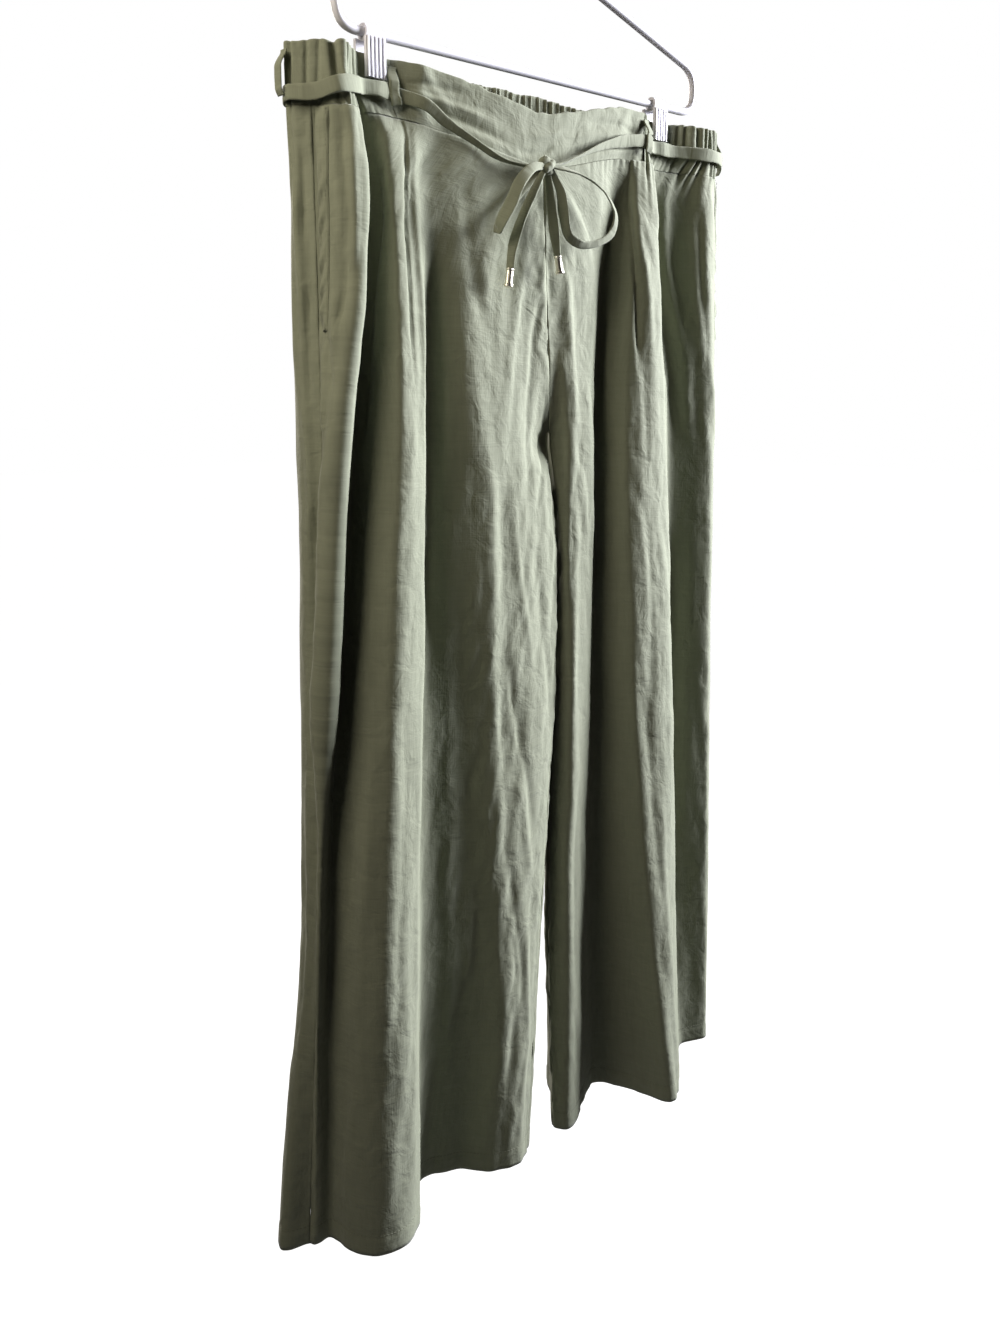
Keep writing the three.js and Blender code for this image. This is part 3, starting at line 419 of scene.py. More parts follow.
def plan_gathers():
    """Rows of (length round the waist, depth, half width, slant, how far it runs down the leg)."""
    rows = []
    at, k = ELASTIC_FROM + 4, 0
    while at < ELASTIC_TO - 4:
        deep = chance(k, 1) ** 1.5
        way = (at - ELASTIC_FROM) / (ELASTIC_TO - ELASTIC_FROM)
        fine = 1 - 0.38 * smooth(0.22, 0.34, way) * smooth(0.22, 0.34, 1 - way)
        rows.append((at, (2.0 + 3.4 * deep) * fine, (1.5 + 1.7 * chance(k, 2)) * fine,
                     11 * (chance(k, 3) - 0.5) * fine, 22 + 75 * chance(k, 4) ** 2))
        at += (6.8 + 8 * chance(k, 5)) * fine
        k += 1
    for x, depth, slant in DEEP_GATHERS:
        rows.append((length_at("front_right", x) + ROUND_LENGTH, depth, 2.3, slant, 26))
    return rows


GATHERS = plan_gathers()


def plan_short_gathers():
    """Short gathers of the left leg under the front band, rows like GATHERS."""
    rows = []
    at, k = length_at("front_left", SHORT_GATHERS_X[0]), 0
    while at < length_at("front_left", SHORT_GATHERS_X[1]):
        rows.append((at, 0.7 + 1.3 * chance(k, 11), 1.4 + 1.2 * chance(k, 12),
                     5 * (chance(k, 13) - 0.5), 7 + 14 * chance(k, 14) ** 2))
        at += 5 + 5 * chance(k, 15)
        k += 1
    return rows


SHORT_GATHERS = plan_short_gathers()


def gather_relief(lengths, down):
    """Valleys of the elastic's gathers on the band, (L, R)."""
    relief = np.zeros((len(lengths), len(down)))
    middle = (down - BAND_HEIGHT / 2) / BAND_HEIGHT
    for at, depth, half, slant, _ in GATHERS:
        away = (lengths[:, None] - at - slant * middle[None]) / half
        away = np.where(np.abs(away) < 6, away, 6)
        relief -= depth * (bell(away) - 0.22 * bell(away / 2.6))
    return relief


def gathers_below(lengths, down):
    """What the gathers leave on the leg under the band, (U, R)."""
    relief = np.zeros((len(lengths), len(down)))
    fall = np.maximum(down - BAND_HEIGHT, 0)[None]
    for at, depth, half, slant, run in GATHERS + SHORT_GATHERS:
        width = half * (1.15 + fall / 34)
        centre = at + slant * (0.5 + 0.4 * fall / BAND_HEIGHT)
        for turn in (0, -ROUND_LENGTH):
            away = (lengths[:, None] - centre - turn) / width
            away = np.where(np.abs(away) < 5, away, 5)
            valley = bell(away) - 0.3 * bell(away / 2.2)
            relief -= 0.85 * depth * np.exp(-fall / run) * valley
    return relief


# Creases, listed one by one. Each row: its path, points of (u, down), then its half width, its height
# (trough below 0) and its lean: above 0 the side towards the side seam is softer, below 0 the other.
CREASES = {}
CREASES["front_right"] = (
    # under the clip, the pleat and its opening
    ((3.1, 45), (2.96, 109), (2.42, 207), (2.2, 320), 7, -7.5, 0.2),
    ((2.1, 45), (2.0, 110), (1.5, 200), (1.3, 300), 7, 3.0, 0),
    ((5.0, 45), (4.79, 99), (4.62, 144), (4.55, 205), (4.6, 265), 2.0, -2.6, 0.4),
    ((5.35, 45), (5.2, 99), (5.1, 144), (5.1, 205), (5.1, 280), 5, 2.0, -0.3),
    ((5.6, 92), (6.08, 139), (6.29, 202), (6.3, 276), (6.1, 400), (6.0, 560), 9, -4.5, 0),
    # thigh, and the drag of the tie
    ((7.0, 190), (7.25, 276), (7.42, 364), (7.33, 474), (7.4, 600), (7.5, 760),
     (7.8, 900), 13, 4.5, 0.3),
    ((6.9, 60), (7.0, 120), (7.3, 190), (7.5, 240), 8, -1.8, 0),
    ((8.6, 90), (8.2, 150), (7.9, 220), (7.75, 300), 6, 1.9, 0.2),
    ((8.9, 150), (8.5, 210), (8.3, 290), (8.25, 380), 5, -1.9, 0),
    # inner thigh and crotch
    ((7.9, 330), (8.0, 400), (8.2, 470), (8.3, 520), 5, 1.5, 0.3),
    ((8.4, 400), (8.5, 470), (8.7, 540), (8.8, 600), 4.5, -1.5, 0),
    ((7.7, 480), (7.95, 550), (8.25, 620), (8.5, 690), 4.5, -1.3, -0.2),
    ((8.0, 600), (8.3, 680), (8.6, 750), 5, 1.5, 0.2),
    ((7.6, 660), (7.95, 740), (8.25, 810), (8.4, 870), 5, -1.4, 0),
    ((8.4, 760), (8.5, 840), (8.7, 930), 5, 1.8, 0.2),
    ((8.8, 300), (8.75, 380), (8.65, 450), 3.5, 1.5, 0),
    ((8.95, 240), (8.8, 285), (8.5, 340), (8.3, 390), 4, -1.4, 0),
    # low on the leg
    ((8.2, 860), (8.0, 950), (7.9, 1040), 8, -2.4, 0),
    ((8.6, 880), (8.5, 960), (8.5, 1040), 6, 2.0, 0),
    ((7.9, 770), (8.05, 800), (8.15, 835), 3, -1.3, 0),
    # soft creases down the crest and its valleys
    ((4.3, 480), (4.5, 620), (4.4, 760), (4.5, 900), 6, -1.6, 0),
    ((5.0, 360), (5.2, 520), (5.1, 700), (5.3, 1040), 7, 1.5, 0),
    ((6.6, 500), (6.5, 700), (6.7, 900), (6.6, 1040), 8, 1.6, 0),
    ((3.4, 260), (3.2, 420), (3.4, 620), (3.1, 820), 7, 1.6, 0),
    ((2.7, 560), (2.9, 760), (2.7, 1040), 7, -1.8, 0),
    # the side's fullness, and crinkles beside the pocket
    ((0.5, 45), (0.45, 200), (0.5, 420), (0.55, 640), 9, 5.0, 0),
    ((1.02, 45), (1.05, 200), (1.04, 420), (1.08, 650), 11, 8.0, 0),
    ((1.32, 60), (1.3, 120), (1.22, 190), 2.6, -1.3, 0),
    ((0.66, 52), (0.62, 80), (0.7, 112), 2.6, -3.3, 0),
    ((0.82, 60), (0.78, 96), (0.84, 140), (0.8, 170), 3, 3.3, 0.2),
    ((0.5, 96), (0.58, 124), (0.52, 150), 2.4, 3.0, 0),
    ((0.62, 150), (0.7, 176), (0.64, 208), 2.6, -3.1, 0),
    ((0.95, 70), (0.98, 120), (0.93, 190), 3.0, -3.0, 0),
    ((0.48, 178), (0.56, 200), (0.7, 226), 2.6, 3.0, 0),
    ((1.1, 50), (1.04, 66), (1.0, 84), 2.4, -2.8, 0),
    # drags from the pocket's lower end
    ((0.35, 206), (0.5, 232), (0.74, 262), 3, -3.3, 0),
    ((0.2, 212), (0.34, 250), (0.5, 300), 3, 3.1, 0),
    ((1.25, 205), (1.05, 250), (0.8, 310), (0.6, 360), 4, 1.6, 0),
    ((0.75, 215), (0.6, 262), (0.4, 320), 3.5, -1.4, 0),
    ((1.1, 300), (0.9, 360), (0.6, 440), (0.5, 520), 4, -1.3, 0),
    ((0.9, 420), (0.75, 500), (0.8, 600), 4, 1.2, 0),
)
CREASES["front_left"] = (
    # pleat, its returns and the side bulge
    ((6.1, 45), (5.9, 72), (5.4, 120), (4.96, 162), (4.7, 250), 3.0, -3.2, 0.3),
    ((5.6, 45), (5.4, 72), (5.0, 110), (4.6, 162), (4.4, 240), 5, 2.2, 0),
    ((6.3, 66), (6.8, 110), (6.6, 200), (6.5, 310), 6, -3.4, 0),
    ((4.9, 180), (4.6, 240), (4.5, 340), 5, -1.2, 0),
    ((2.9, 60), (2.8, 130), (2.7, 200), (2.4, 320), 5, 2.4, 0),
    ((2.2, 45), (1.9, 140), (1.6, 240), (1.5, 340), 7, 3.2, 0),
    ((1.3, 60), (1.2, 150), (1.0, 260), 5, -2.2, 0),
    # soft creases down the leg
    ((2.0, 380), (1.8, 520), (1.9, 700), (2.1, 900), 8, -2.6, 0),
    ((4.7, 300), (4.5, 460), (4.7, 640), (4.5, 860), 6, -1.6, 0),
    ((4.4, 640), (4.5, 820), (4.4, 1040), 6, 1.6, 0),
    ((5.7, 420), (5.9, 600), (5.6, 820), (5.8, 1040), 7, 1.6, 0),
    ((7.0, 480), (7.3, 660), (7.1, 900), (7.2, 1040), 6, -2.2, 0),
    # inner leg
    ((9.2, 120), (9.0, 190), (8.8, 280), (8.8, 360), 5, 1.6, 0),
    ((9.6, 200), (9.4, 280), (9.3, 360), (9.35, 440), 4, -1.0, 0),
    ((8.6, 340), (8.7, 440), (8.9, 540), (9.0, 620), 5, 1.6, 0),
    ((9.5, 460), (9.4, 560), (9.5, 660), 4, -0.9, 0),
    ((9.3, 640), (9.2, 740), (9.3, 860), 5, 1.4, 0),
    ((8.5, 620), (8.7, 760), (8.6, 900), 6, -1.6, 0),
    # drags from the pocket's lower end
    ((1.1, 205), (0.9, 260), (0.6, 330), 4, 1.5, 0),
    ((0.7, 220), (0.5, 290), (0.4, 380), 4, -1.4, 0),
)
CREASES["back_right"] = (
    # seat
    ((6.6, 90), (6.2, 170), (5.8, 250), (5.6, 340), 7, 2.4, 0.2),
    ((6.9, 160), (6.7, 240), (6.2, 330), (6.0, 420), 6, -2.2, 0),
    # long falls
    ((2.2, 45), (2.3, 160), (2.1, 340), (2.3, 520), 8, 3.0, 0),
    ((2.6, 420), (2.4, 640), (2.7, 860), (2.6, 1040), 9, -3.0, 0),
    ((4.1, 60), (4.3, 220), (4.0, 420), (4.2, 640), 8, 2.6, -0.2),
    ((4.5, 520), (4.3, 760), (4.6, 1040), 8, -2.6, 0),
    ((3.2, 70), (3.0, 230), (3.2, 400), 5, -2.0, 0),
    ((5.4, 120), (5.2, 300), (5.4, 520), (5.2, 700), 7, 2.0, 0),
    # inner thigh
    ((6.8, 340), (6.6, 450), (6.7, 560), 5, 1.7, 0),
    ((7.2, 420), (7.1, 540), (7.3, 660), 4.5, -1.6, 0),
    # beside the side seam
    ((1.0, 120), (0.8, 260), (0.9, 420), 6, -1.6, 0),
    ((0.7, 520), (0.9, 700), (0.8, 900), 6, 1.6, 0),
    ((0.5, 60), (0.4, 100), (0.5, 150), 3, -3.3, 0),
    ((0.8, 80), (0.68, 140), (0.56, 200), (0.64, 250), 3.4, 3.5, 0),
    ((0.35, 170), (0.47, 220), (0.4, 280), 3, -3.1, 0),
    ((0.7, 250), (0.5, 330), (0.6, 400), 3.6, 3.3, 0),
    ((0.3, 330), (0.4, 400), (0.3, 480), 3.6, -2.8, 0),
)
CREASES["back_left"] = (
    # seat
    ((6.7, 80), (6.3, 160), (5.9, 240), (5.7, 350), 7, 2.3, 0.2),
    ((7.0, 170), (6.6, 250), (6.3, 340), (6.1, 440), 6, -2.2, 0),
    # long falls
    ((2.1, 45), (2.2, 180), (2.0, 330), (2.2, 560), 8, 2.8, 0),
    ((2.5, 460), (2.3, 680), (2.6, 1040), 9, -3.0, 0),
    ((4.2, 70), (4.1, 240), (4.3, 460), (4.1, 660), 8, 2.6, 0.2),
    ((4.4, 560), (4.6, 800), (4.4, 1040), 8, -2.5, 0),
    ((3.1, 60), (3.2, 210), (3.0, 380), 5, -2.1, 0),
    ((5.3, 140), (5.4, 320), (5.2, 540), (5.4, 720), 7, 1.9, 0),
    # inner thigh
    ((6.7, 360), (6.8, 470), (6.6, 590), 5, 1.6, 0),
    ((7.3, 440), (7.2, 560), (7.1, 680), 4.5, -1.6, 0),
    # beside the side seam
    ((0.9, 140), (1.0, 300), (0.8, 460), 6, -1.7, 0),
    ((0.8, 560), (0.7, 720), (0.9, 920), 6, 1.6, 0),
)


def crease_relief(name, u, down, along):
    relief = np.zeros(along.shape)
    for *path, half, height, lean in CREASES[name]:
        path = np.array(path, float)
        inside = (down >= path[0, 1]) & (down <= path[-1, 1])
        if not inside.any():
            continue
        rows = np.nonzero(inside)[0]
        at = through(path[:, 1], path[:, 0], down[rows])
        centre = np.array([np.interp(a, u, along[:, r]) for a, r in zip(at, rows)])
        slope = np.gradient(centre, down[rows]) if len(rows) > 1 else np.zeros(1)
        away = (along[:, rows] - centre) / np.sqrt(1 + slope ** 2)
        t = (down[rows] - path[0, 1]) / max(path[-1, 1] - path[0, 1], 1)
        ends = 1.0 if path[0, 1] <= BAND_HEIGHT + 1 else smooth(0, 0.22, t)
        if path[-1, 1] < OUTSEAM:
            ends = ends * smooth(0, 0.3, 1 - t)
        uneven = 1 + 0.22 * noise(down[rows] / 70, path[0, 0] * 3.1, 5)
        width = half * (1 + 0.18 * noise(down[rows] / 90, path[0, 0] * 1.7, 6))
        near = np.where(away < 0, width * (1 + lean), width * (1 - lean))
        relief[:, rows] += height * ends * uneven * bell(away / near)
    return relief


POCKET_TOP = 46.0
POCKET_BOTTOM = 208.0
COLUMN_STEP = 2.2
MOST_COLUMNS = 184
PANEL_ROWS = 252
HEM = 20.0
SHELL = 0.8
# The pocket's opening beside the side seam: its depth, its place and its half width.
OPENING_DEPTH, OPENING_AT, OPENING_HALF = 4.6, 2.6, 2.2


def panel_columns(name):
    count = len(PANELS[name]["folds"])
    fine = surface(name, np.linspace(0, count, count * 12 + 1), np.linspace(60, OUTSEAM, 9))
    steps = np.linalg.norm(np.diff(fine, axis=0), axis=-1).max(axis=1).reshape(count, 12).sum(axis=1)
    step = max(COLUMN_STEP, steps.sum() / MOST_COLUMNS)
    columns = [np.linspace(k, k + 1, max(3, round(steps[k] / step)), endpoint=False)
               for k in range(count)]
    return np.concatenate(columns + [[float(count)]])


def seam_relief(away, down, seed):
    """A sewn seam: a narrow groove with puckers that fade beside it."""
    groove = -0.7 * bell(away / 1.5)
    pucker = 0.75 * noise(down / 9.0 + away / 12, away / 14, seed)
    pucker += 0.7 * noise(down / 23.0, away / 20, seed + 1)
    return groove + pucker * bell((away - 6) / 8)


def soft_relief(along, down, seed):
    """The cloth's own slackness: long soft swells, then shorter crumples."""
    down = np.broadcast_to(down, along.shape)
    swell = 1.5 * noise(along / 34, down / 190, seed)
    drape = 1.0 * noise(along / 15, down / 95, seed + 1)
    patch = 0.4 + 0.6 * smooth(-0.3, 0.6, noise(along / 60, down / 120, seed + 4))
    crumple = 0.72 * patch * noise(along / 9 + down / 60, down / 38, seed + 2)
    fine = 0.3 * patch * noise(along / 5 - down / 50, down / 16, seed + 3)
    return swell + drape + crumple + fine


def panel_surface(name, seed):
    u = panel_columns(name)
    down = np.linspace(BAND_HEIGHT + 2, OUTSEAM, PANEL_ROWS - 1)
    down = np.concatenate([[BAND_HEIGHT + SEAM_GAP], down])
    points = surface(name, u, down)
    normals = grid_normals(points, winding(name))
    along = run_along(points)
    inner = along[-1] - along
    relief = soft_relief(along, down[None], seed) + crease_relief(name, u, down, along)
    relief *= smooth(0, 6, along) * smooth(0, 6, inner)
    relief *= 0.35 + 0.65 * smooth(BAND_HEIGHT, BAND_HEIGHT + 50, down)[None]
    relief += seam_relief(along, down[None], seed + 5) + seam_relief(inner, down[None], seed + 9)
    if PANELS[name]["face"] > 0:
        opening = smooth(POCKET_TOP, POCKET_TOP + 8, down)
        opening = opening * smooth(-POCKET_BOTTOM, 8 - POCKET_BOTTOM, -down)
        groove = bell((along - OPENING_AT) / OPENING_HALF)
        relief -= OPENING_DEPTH * opening[None] * groove
    free = 1 - 0.85 * pinch(points[..., 0], down[None] * 0)
    relief += gathers_below(length_of(name, u), down) * smooth(0, 3, along) * free
    hem = smooth(OUTSEAM - HEM - 1, OUTSEAM - HEM + 1, down)[None]
    stitched = bell((down - OUTSEAM + HEM) / 1.6)[None]
    relief += 0.45 * hem - 0.5 * stitched + 0.35 * hem * noise(along / 11, down[None] / 40, seed + 12)
    ends = smooth(0, 1.5, along) * smooth(0, 1.5, inner)
    points = points + normals * (relief * (0.35 + 0.65 * ends))[..., None]
    return dict(u=u, down=down, points=points, normals=normals, along=along)


def build_panel(name, seed):
    made = panel_surface(name, seed)
    along, down = made["along"], made["down"]
    faces = grid_faces(*along.shape, winding(name) < 0)
    obj = cloth_piece(name, made["points"], faces, (along + 700 * seed, -down), single=True)
    return made


# Waistband

QUILTED_AT = (12, 32)
BAND_TURN = BAND_CLOTH / 2
BAND_PROFILE = tuple([(d, BAND_TURN) for d in np.arange(BAND_HEIGHT, 1, -1.5)]
                     + [(0.9, 1.1), (0.3, 0.75), (0.0, 0.0), (0.3, -0.75), (0.9, -1.1)]
                     + [(d, -BAND_TURN) for d in np.arange(2, BAND_HEIGHT, 3)]
                     + [(BAND_HEIGHT, -BAND_TURN)])


def build_band(node, start, end, step, relief_of):
    lengths = np.linspace(start + SEAM_GAP / 2, end - SEAM_GAP / 2, int((end - start) / step))
    down = np.array([row[0] for row in BAND_PROFILE])
    order = np.unique(down, return_inverse=True)
    base, normals = round_grid(lengths, order[0])
    base, normals = base[:, order[1]], normals[:, order[1]]
    off = np.array([row[1] for row in BAND_PROFILE])
    relief = relief_of(lengths, down, base)
    points = base + normals * (off[None] + relief)[..., None]
    rim = bell(down / 6)[None]
    points[..., 2] += 0.8 * rim * noise(lengths / 9, 0 * lengths, 31)[:, None]
    run = -np.cumsum(np.abs(np.diff(down, prepend=0)))
    faces = grid_faces(len(lengths), len(down))
    cloth_piece(node, points, faces, (lengths[:, None] + 4000, run))


# Folds pulled along the front band: rows of from x, to x, down there, down here, half width, height.
BAND_DRAGS = (
    (118, -10, 26, 20, 3.0, 1.9), (118, -30, 30, 33, 3.0, -1.7), (118, 20, 21, 9, 2.6, -1.3),
    (118, 30, 34, 42, 2.4, 1.2), (-165, -60, 22, 24, 3.2, 1.9), (-165, -40, 28, 36, 3.0, -1.7),
    (-165, -90, 16, 9, 2.8, -1.3), (-10, -60, 26, 40, 2.6, -1.5), (0, -50, 14, 22, 3.4, 1.2),
)


def front_relief(lengths, down, base):
    x, height = base[..., 0], down[None]
    drag = 1.3 * bell((x + 150 - 0.9 * height) / 7) * smooth(44, 6, height)
    drag += 1.0 * bell((x - 96 + 0.8 * height) / 7) * smooth(44, 10, height)
    slack = 0.9 * noise(lengths[:, None] / 26, height / 60 + lengths[:, None] / 90, 41)
    for near, far, start, end, half, rise in BAND_DRAGS:
        t = np.clip((x - near) / (far - near), 0, 1)
        line = start + (end - start) * t ** 0.8
        shown = smooth(0, 0.2, t) * smooth(0, 0.45, 1 - t)
        slack = slack + rise * shown * bell((height - line) / (half * (0.7 + 0.6 * t)))
    fine = 0.3 * noise(lengths[:, None] / 8, height / 20, 42)
    stitched = -0.45 * bell((height - BAND_HEIGHT + 0.6) / 1.2)
    return drag + slack + fine + stitched


def elastic_relief(lengths, down, base):
    free = 1 - 0.8 * pinch(base[..., 0], 0 * base[..., 0])
    quilt = -0.5 * sum(bell((down - row) / 1.1) for row in QUILTED_AT)[None]
    fine = 0.25 * noise(lengths[:, None] / 5, down[None] / 14, 43)
    return (gather_relief(lengths, down) + quilt * 0.6) * free + fine


# Belt, bow and loops

# Rows of x, down and the clearance from the band; a fourth value is a distance out instead.
BELT_FRONT_RIGHT = (
    (-230, 31, 5.4), (-218, 28, 5.6), (-204, 26, 7.4), (-186, 25.5, 9.5),
    (-166, 27, 6.4), (-148, 33, 6.2), (-128, 43, 6.0), (-104, 55, 6.0),
    (-74, 66, 8.0), (-54, 69, 0, 41), (-38, 68, 0, 43),
)
BELT_FRONT_LEFT = (
    (-30, 66, 0, 43), (-14, 63, 0, 40), (4, 56, 9.0), (42, 41, 6.6), (84, 30, 5.2),
    (121, 25.5, 5.8), (142, 25.5, 7.4), (160, 25.5, 9.5), (184, 25.5, 7.6),
    (214, 26, 6.8), (238, 26, 6.8),
)
BELT_BACK_X = (248, -242)
BELT_BACK_STOPS = 32
BELT_BACK_CLEAR = 6.8
BELT_BRIDGE = 5.0

# Rows of (x, out, down, turn away from the outer side, share of the width that is not folded in).
OUTER_SIDE = np.array([-0.62, -0.75, 0.2])
KNOT = (-34, 44, 67)
KNOT_RADIUS = 7.4
BOW_RIGHT = (
    (-36.5, 46, 68, 20, 0.45), (-57, 51, 72, 12, 0.75), (-74, 53, 86, -8, 0.95),
    (-84, 53, 103, -14, 0.95), (-92, 50, 118, -20, 0.85), (-90, 44, 123, -28, 0.75),
    (-80, 40, 110, -28, 0.75), (-62, 38, 92, -20, 0.7), (-40, 41, 73, -10, 0.45),
)
BOW_LEFT = (
    (-31, 47, 67, 20, 0.45), (-8, 52, 70, 58, 0.6), (16, 52, 75, 66, 0.65), (34, 53, 85, 64, 0.7),
    (46, 53, 101, 58, 0.7), (43, 52, 115, 50, 0.65), (26, 51, 125, 46, 0.6), (4, 50, 128, 40, 0.65),
    (-11, 49, 121, 30, 0.7), (-16, 48, 104, 20, 0.75), (-20, 48, 87, 10, 0.65), (-30, 46, 70, 0, 0.4),
)
TAIL_RIGHT = (
    (-36, 44, 70, -18, 0.5), (-51, 46, 90, -8, 0.8), (-66, 47, 113, -20, 0.9),
    (-76, 47, 136, -10, 0.95), (-79, 47, 153, -16, 0.8),
)
TAIL_LEFT = (
    (-33, 44, 70, -20, 0.5), (-29, 45, 92, 6, 0.9), (-26, 46, 116, -14, 1), (-22, 47, 139, 10, 0.8),
)
TAIL_WIDTH = BELT_WIDTH - 3
BELT_THICK = 2.0
BOW_THICK = 1.9
STRIP_EDGE = 14
STEPS_PER_STOP = 10


def through_points(points, per_step):
    """A centripetal curve through all the points, ends included."""
    points = np.asarray(points, float)
    padded = np.vstack([2 * points[0] - points[1], points, 2 * points[-1] - points[-2]])
    at = np.linspace(0, len(points) - 1, (len(points) - 1) * per_step + 1)
    return catmull(padded, 1 + np.minimum(at, len(points) - 1 - 1e-9)), at


def ribbon(node, path, across, width, thick, seed):
    """A soft flat strip along path (N, 3) with its width along across (N, 3)."""
    along = unit(np.gradient(path, axis=0))
    across = unit(across - along * np.sum(across * along, axis=-1, keepdims=True))
    normal = np.cross(along, across)
    angle = np.linspace(0, 2 * np.pi, STRIP_EDGE, endpoint=False)
    flat = np.sign(np.cos(angle)) * np.abs(np.cos(angle)) ** 0.45
    high = np.sign(np.sin(angle)) * np.abs(np.sin(angle)) ** 0.75
    length = run_along(path)
    wave = 1 + 0.1 * noise(length / 17, 0 * length, seed)
    puff = 0.5 * noise(length[:, None] / 7, flat[None] * 1.4, seed + 1)
    furrow = 0.5 * noise(length / 34, 0 * length, seed + 2)[:, None]
    puff = puff - 0.8 * bell((flat[None] - furrow) / 0.22)
    half = (np.asarray(width) * wave / 2)[:, None]
    rise = thick / 2 * high[None] * (1 - 0.25 * (1 - np.abs(flat[None])))
    rise = rise + puff * np.abs(high[None]) * 0.6
    points = (path[:, None] + across[:, None] * (half * flat[None])[..., None]
              + normal[:, None] * rise[..., None])
    uv = (length[:, None] + 300 * seed, angle[None] * 3.5)
    cloth_piece(node, points, tube_faces(len(path), STRIP_EDGE), uv)


def leaning(rows):
    rows = np.array(rows, float)
    path, at = through_points(place(*rows[:, :3].T), STEPS_PER_STOP)
    lean = np.radians(np.interp(at, np.arange(len(rows)), rows[:, 3]))[:, None]
    share = np.interp(at, np.arange(len(rows)), rows[:, 4])
    along = unit(np.gradient(path, axis=0))
    outer = unit(OUTER_SIDE - along * (along @ OUTER_SIDE)[:, None])
    flat = np.cross(along, outer)
    return path, flat * np.cos(lean) + outer * np.sin(lean), share


def belt_stops():
    stops, facing = [], []

    def add(rows, name):
        for x, down, clear, *out in rows:
            rest = min(down, BAND_HEIGHT - 4)
            near = np.array([length_at(name, x)]) + np.array([-1.0, 0, 1.0])
            base, normal = round_grid(near, np.array([rest - 1, rest, rest + 1]))
            point = base[1, 1] + normal[1, 1] * clear
            if out:
                point = place(x, out[0], down)
            point[2] = WAIST_Z - down
            stops.append(point)
            facing.append(normal[1, 1])

    add(BELT_FRONT_LEFT, "front_left")
    start = length_at("front_left", BELT_BACK_X[0])
    end = length_at("front_right", BELT_BACK_X[1]) + ROUND_LENGTH
    for length in np.linspace(start, end, BELT_BACK_STOPS + 1):
        rest = BELT_DOWN + 11 * smooth(start, end, length) ** 4
        base, normal = round_grid(length + np.array([-1.0, 0, 1.0]), rest + np.array([-1.0, 0, 1.0]))
        point = base[1, 1]
        bridge = BELT_BRIDGE * float(pinch(point[0], 0.0))
        stops.append(point + normal[1, 1] * (BELT_BACK_CLEAR + bridge))
        facing.append(normal[1, 1])
    add(BELT_FRONT_RIGHT, "front_right")
    return np.array(stops), np.array(facing)


def build_belt():
    stops, facing = belt_stops()
    path, at = through_points(stops, 9)
    facing = between(at, np.arange(len(stops)), facing)
    along = unit(np.gradient(path, axis=0))
    across = np.cross(facing, along)
    from_left, from_right = (np.linalg.norm(path - path[end], axis=1) for end in (0, -1))
    to_knot = np.minimum(from_left, from_right)
    width = BELT_WIDTH * (0.45 + 0.55 * smooth(15, 130, to_knot))
    width = width * (1 - 0.25 * (1 - smooth(90, 150, from_right)))
    twist = 1.0 * (1 - smooth(10, 120, to_knot)) + 0.35 * (1 - smooth(100, 150, from_right))
    twist = twist[:, None]
    across = across * np.cos(twist) + np.cross(along, across) * np.sin(twist)
    ribbon("belt_round", path, across, width, BELT_THICK, 3)


LOOP_CLOTH = 1.2
LOOP_WIDTH = 8.5
LOOP_INSET = 6
LOOP_REST = (BAND_CLOTH + LOOP_CLOTH) / 2 + 1.4
BELT_LOOPS = (
    ("loop_front_right", "front_right", FRONT_LOOP_X[0], 9.6),
    ("loop_front_left", "front_left", FRONT_LOOP_X[1], 8.4),
    ("loop_side_right", "back_right", -254, 8.9), ("loop_side_left", "back_left", 250, 8.9),
    ("loop_back", "back_right", -3, 8.4),
)


def build_loop(node, panel, x, over, seed):
    middle = length_at(panel, x)
    down = np.linspace(LOOP_INSET, BAND_HEIGHT - LOOP_INSET, 40)
    base, normals = round_grid(middle + np.array([-1.5, 0, 1.5]), down)
    share = 1 - smooth(7, 19, np.abs(down - BELT_DOWN))
    clear = LOOP_REST * (1 - share) + over * share
    path = base[1] + normals[1] * clear[:, None]
    across = unit(base[2] - base[0])
    ribbon(node, path, across, np.full(len(down), LOOP_WIDTH), LOOP_CLOTH + 0.4, seed)


def build_knot():
    rings, sides = 28, 40
    theta = np.linspace(0.02, np.pi - 0.02, rings)[:, None]
    phi = np.linspace(0, 2 * np.pi, sides, endpoint=False)[None]
    ball = np.stack(np.broadcast_arrays(np.sin(theta) * np.cos(phi), np.sin(theta) * np.sin(phi),
                                        np.cos(theta)), -1)
    wrap = np.abs(np.sin(1.5 * phi + 2.2 * theta)) ** 0.6
    lump = 1 + 0.1 * noise(2 * theta + 0 * phi, 2.2 * np.cos(phi) + 3, 9)
    radius = KNOT_RADIUS * (0.82 + 0.24 * wrap) * lump
    points = ball * radius[..., None] * np.array([1.2, 0.9, 0.98]) + place(*KNOT)
    cloth_piece("belt_knot", points, tube_faces(rings, sides), (phi * 7, theta * 7))


# Pocket edges: a stitched strip that stands a little off the leg beside its opening

POCKETS = (("pocket_edge_right", "front_right", 61), ("pocket_edge_left", "front_left", 67))
EDGE_FROM, EDGE_TO, EDGE_STITCHED = 3.2, 14.4, 9.0


def on_panel(made, away, down):
    """Points and normals of the finished leg at distances away from the side seam, (A, R, 3)."""
    row = np.interp(down, made["down"], np.arange(len(made["down"])))
    low = np.clip(row.astype(int), 0, len(made["down"]) - 2)
    share = row - low
    spots = []
    for values in (made["points"], made["normals"]):
        found = np.zeros((len(away), len(down), 3))
        for r, (k, w) in enumerate(zip(low, share)):
            above, below = (between(away, made["along"][:, j], values[:, j]) for j in (k, k + 1))
            found[:, r] = (1 - w) * above + w * below
        spots.append(found)
    return spots[0], unit(spots[1])


